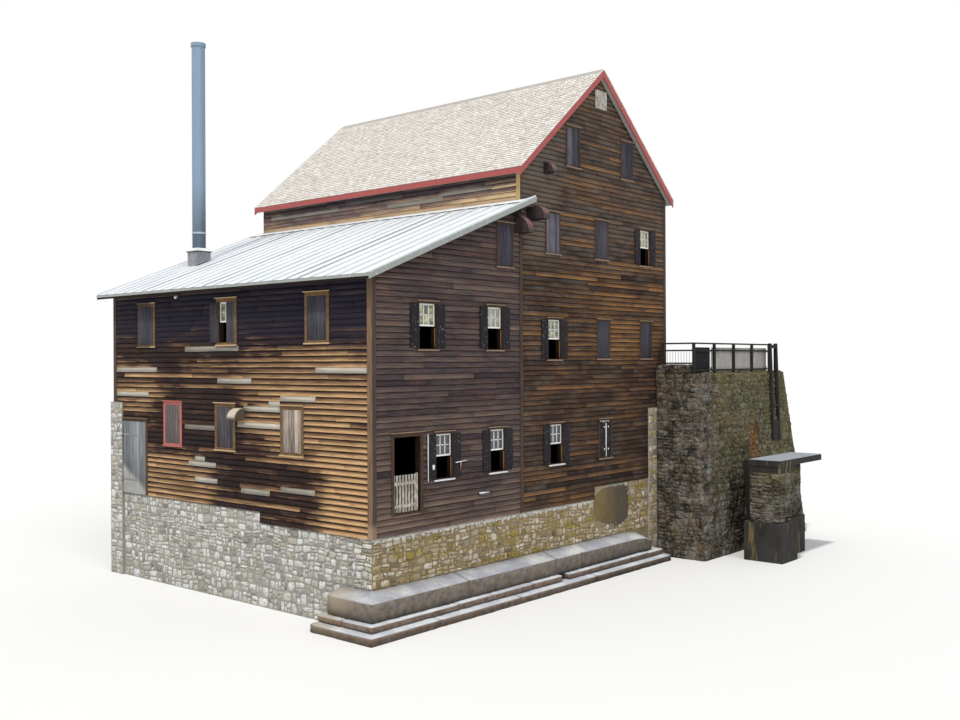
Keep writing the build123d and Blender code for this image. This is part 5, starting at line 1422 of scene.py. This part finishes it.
def roof_apron():
    """A thin strip of sheet along the upper edge of the lean-to's roof, with an uneven lower edge."""
    stations, rise = 70, 0.003
    y = np.linspace(-0.36, 13.76, stations)
    lower = 6.26 + chance.uniform(0, 0.05, stations)
    lift = 0.053 + chance.uniform(0, 0.003, stations)
    upper = np.full(stations, 6.655)
    rings = np.empty((1, stations, 4, 3))
    for corner, (x, up) in enumerate(((lower, 0.0), (upper, 0.0), (upper, rise), (lower, rise))):
        rings[0, :, corner] = np.stack([x, y, deck_top(x) + lift + up], -1)
    bars("roof_apron", rings, APRON_METAL, "flashing")


roof_apron()

# %% Small fittings
# The wall stub is dark sheet whose top is painted pale blue-white, a painted highlight from above.
STUB_PAINTED_TOP_LIGHT = metal_finish("stub_sheet", (0.10, 0.10, 0.11), (0.045, 0.042, 0.045), 3.0, 0.1, 0.5,
                          levels=[(3.455, 0.012, (0.80, 0.82, 0.88))])
# Name, rods from end to end, radius, sides, finish and slot
FITTINGS = (
    ("wall_stub", [[(4.50, -0.085, 3.44), (4.93, -0.085, 3.42)]], 0.055, 14, STUB_PAINTED_TOP_LIGHT, "flashing"),
    ("left_lamp", [[(-0.04, 9.35, 9.80), (-0.17, 9.30, 9.73)]], 0.045, 12, APRON_METAL, "flashing"),
    ("latch_rod", [[(3.41, -0.07, 4.50), (3.92, -0.07, 4.53)], [(3.64, -0.07, 4.50), (3.64, -0.07, 4.36)]],
     0.013, 8, APRON_METAL, "hinge_iron"),
    ("latch_hook", [[(3.62, -0.075, 4.47), (3.62, -0.075, 4.22)]], 0.016, 8, TAN_STRIP, "hinge_iron"),
)
for name, ends, radius, sides, finish, slot in FITTINGS:
    bars(name, rods(ends, radius, sides), finish, slot)
bars("white_fittings", block_rings([(2.40, -0.075, 4.36), (2.198, -0.068, 4.02), (11.58, -0.050, 4.09)],
                                  [(2.485, -0.055, 4.50), (2.222, -0.052, 5.42), (11.62, -0.030, 5.30)], 2),
     WHITE_PAINT, "white_paint")
heads = [[(11.595 + dx, -0.062, z), (11.595 + dx, -0.050, z)] for dx in (-0.13, 0.13) for z in (4.36, 5.16)]
bars("white_heads", rods(heads, 0.030, 12), WHITE_PAINT, "white_paint")
print("fittings placed")

# %% [markdown]
# ## Shutters made of boards
# Each shutter is two or three upright boards with thin gaps, nailed to ledges behind. The CAD leaves are
# plain plates, so the new boards take each leaf's box from the CAD mesh, which is why a change of size in
# the CAD model carries over by itself. The closed ones on the front are bare grey wood, the open
# ones show their painted blue-black inner faces.

# %% Boarded shutters
def leaf_boxes(node):
    """A node of plain blocks is twelve loose triangles for each block; gives their low and high corners."""
    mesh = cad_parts[node].data
    points = np.empty(len(mesh.vertices) * 3)
    mesh.vertices.foreach_get("co", points)
    corners = np.empty(len(mesh.loops), dtype=np.int32)
    mesh.loops.foreach_get("vertex_index", corners)
    solids = points.reshape(-1, 3)[corners].reshape(-1, 36, 3)
    return solids.min(axis=1), solids.max(axis=1)


def shutter_finish():
    """Blue-black paint on open leaves, bare grey-brown boards on closed ones: the second mark says which."""
    f = Finish("shutter_wood", 0.75)
    (_, is_open, pale), whole = f.marks("marks")
    grain = f.noise(1.0, stretch=(30, 30, 1.6), detail=5.0, roughness=0.7)
    own = f.add("ShaderNodeTexNoise", {}, {"Vector": whole, "Scale": 9.0, "Detail": 0.0})
    low = f.noise(1.5, detail=4.0)
    worn = (grain * 2.2 + own * 1.1 - 1.15).between(0, 1)
    bare = f.blend(worn, (0.012, 0.012, 0.020), (0.105, 0.098, 0.118))
    top_left = (f.axis("X") > 6.9) * (f.axis("X") < 9.6) * (f.axis("Z") > FOOT + 4.9)
    bare = f.shade(bare, 0.90 + top_left * 1.1)
    tan = f.blend((grain * 2.2 + own * 1.0 - 1.1).between(0, 1), (0.10, 0.078, 0.070), (0.60, 0.50, 0.42))
    bare = f.blend(pale, bare, tan)
    paint = f.blend((grain * 1.2 - 0.2).between(0, 1), (0.012, 0.010, 0.012), (0.034, 0.029, 0.034))
    flakes = f.noise(26.0, detail=1.0).between(0.735, 0.75)
    paint = f.blend(flakes, paint, (0.55, 0.53, 0.50))
    colour = f.blend(is_open, bare, paint)
    return f.done(f.shade(colour, 0.7 + low * 0.6), 0.62 + grain * 0.3, height=grain, depth=0.002)


def shutter_boards():
    """Boards in place of each leaf's plate, with their number, how far it is painted, and how tan it is."""
    low, high = leaf_boxes("window_shutters")
    rings, marks = [], []
    for a, b in zip(low, high):
        size = b - a
        thin = int(np.argmin(size))
        wide = 1 - thin
        boards = 3 if size[wide] > 0.3 else 2
        shares = np.cumsum([0.0] + list(chance.uniform(0.8, 1.2, boards)))
        shares /= shares[-1]
        proud = max(-a[1], -a[0]) if thin == 1 else -a[0]
        parted = thin == 1 and 11.0 < a[0] < 12.0 and b[2] < FOOT + 3
        is_open = float(proud > 0.05 or parted)
        on_left_wall = thin == 0 and a[0] < 1
        tan = 0.0
        if on_left_wall and b[2] < FOOT + 4:
            tan = 0.95 if a[1] < 4.2 else (0.25 if a[1] > 9 else 0.05)
        for k in range(boards):
            lo, hi = a.copy(), b.copy()
            lo[wide] = a[wide] + size[wide] * shares[k] + (0.002 if k else 0.0)
            hi[wide] = a[wide] + size[wide] * shares[k + 1] - (0.002 if k < boards - 1 else 0.0)
            lo[2] += chance.uniform(0.0, 0.012)
            hi[2] -= chance.uniform(0.0, 0.006)
            shift = chance.uniform(0.0, 0.004)
            if thin == 1 and a[1] < 1 or thin == 0 and a[0] < 1:
                lo[thin] += shift
            else:
                hi[thin] -= shift
            rings.append(block_rings(lo, hi, 2)[0])
            marks.append((chance.uniform(0, 9), is_open * (0.45 if on_left_wall else 1.0), tan))
    rings = np.array(rings)
    piece = bars("shutter_boards", rings, shutter_finish(), "shutter_wood",
                 marks=np.array(marks)[:, None, None, :] * np.ones(rings.shape))
    bevel = piece.modifiers.new("soft_edges", "BEVEL")
    bevel.width, bevel.segments = 0.003, 1
    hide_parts("window_shutters")
    print(len(rings), "shutter boards on", len(low), "leaves")


shutter_boards()

# %% [markdown]
# ## Glazing bars
# Each raised sash holds six small lights, three across and two high. The CAD sash is only its frame, so
# thin bars are laid over the glass, again measured from the CAD glass itself.

# %% Glazing bars in the raised sashes
def glazing_bars():
    """Two upright bars and one level bar for each pane."""
    bars_low, bars_high = [], []
    for a, b in zip(*leaf_boxes("sash_glass")):
        thin = 1 if b[1] - a[1] < b[0] - a[0] else 0
        wide = 1 - thin
        middle = (a[2] + b[2]) / 2
        across = [a[wide] + (b[wide] - a[wide]) * share for share in (1 / 3, 2 / 3)]
        spans = [(w - 0.018, w + 0.018, a[2] - 0.004, b[2] + 0.004) for w in across]
        spans.append((a[wide] - 0.004, b[wide] + 0.004, middle - 0.015, middle + 0.015))
        for span in spans:
            lo, hi = np.zeros(3), np.zeros(3)
            lo[thin], hi[thin] = a[thin] - 0.014, a[thin] + 0.001
            lo[wide], hi[wide], lo[2], hi[2] = span
            bars_low.append(lo)
            bars_high.append(hi)
    bars("glazing_bars", block_rings(bars_low, bars_high, 2), WHITE_PAINT, "white_paint")
    print(len(bars_low), "glazing bars")


glazing_bars()

# %% [markdown]
# ## Floor, backdrop and light
# The building stands on a plain pale floor that only catches its shadow. The key lamp stands high on
# the lean-to's side and lights the roofs and the left wall. The front is the shaded side, so it only
# gets a weak and very soft lamp and the pale world, which is plain white where the camera or a
# reflection sees it.

# %% Stage and lamps
floor_mesh = bpy.data.meshes.new("floor")
floor_mesh.from_pydata([(-260, -260, 0), (260, -260, 0), (260, 260, 0), (-260, 260, 0)], [], [(0, 1, 2, 3)])
floor = bpy.data.objects.new("floor", floor_mesh)
bpy.context.scene.collection.objects.link(floor)
floor_finish = Finish("floor_pale", 0.95)
floor_finish.done((0.80, 0.80, 0.80))
floor_mesh.materials.append(floor_finish.material)


def add_sun(name, toward, energy, spread, colour):
    """A lamp far away in the direction toward; spread is how wide it looks, which softens its shadows."""
    lamp = bpy.data.objects.new(name, bpy.data.lights.new(name, "SUN"))
    lamp.data.energy, lamp.data.angle, lamp.data.color = energy, math.radians(spread), colour
    lamp.rotation_euler = Vector(toward).to_track_quat("Z", "Y").to_euler()
    bpy.context.scene.collection.objects.link(lamp)


add_sun("key_sun", (-0.45, -0.06, 0.89), 2.05, 4, (1.0, 0.965, 0.90))
add_sun("fill_sun", (-0.30, -0.72, 0.62), 0.85, 30, (0.94, 0.97, 1.0))

world = bpy.data.worlds.new("pale_world")
bpy.context.scene.world = world
world.use_nodes = True
nodes, links = world.node_tree.nodes, world.node_tree.links
nodes.clear()
path = nodes.new("ShaderNodeLightPath")
seen = nodes.new("ShaderNodeMath")
seen.operation = "MAXIMUM"
links.new(path.outputs["Is Camera Ray"], seen.inputs[0])
glossy = nodes.new("ShaderNodeMath")
glossy.operation = "MAXIMUM"
links.new(path.outputs["Is Glossy Ray"], glossy.inputs[0])
links.new(path.outputs["Is Transmission Ray"], glossy.inputs[1])
links.new(glossy.outputs[0], seen.inputs[1])
lit = nodes.new("ShaderNodeBackground")
lit.inputs["Color"].default_value = (0.93, 0.97, 1.0, 1)
lit.inputs["Strength"].default_value = 0.58
white = nodes.new("ShaderNodeBackground")
white.inputs["Color"].default_value = (1, 1, 1, 1)
white.inputs["Strength"].default_value = 1.0
mix = nodes.new("ShaderNodeMixShader")
links.new(seen.outputs[0], mix.inputs[0])
links.new(lit.outputs[0], mix.inputs[1])
links.new(white.outputs[0], mix.inputs[2])
links.new(mix.outputs[0], nodes.new("ShaderNodeOutputWorld").inputs[0])
bpy.context.scene.view_settings.view_transform = "Standard"

# %% [markdown]
# ## Closing the lesson
# The new pieces stay inside the CAD model's box, because make_piece clips their points to it. The end prints
# how many triangles were made and the largest piece.

# %% Sizes
print("triangles:", sum(pieces_made.values()), "largest:", max(pieces_made.items(), key=lambda item: item[1]))
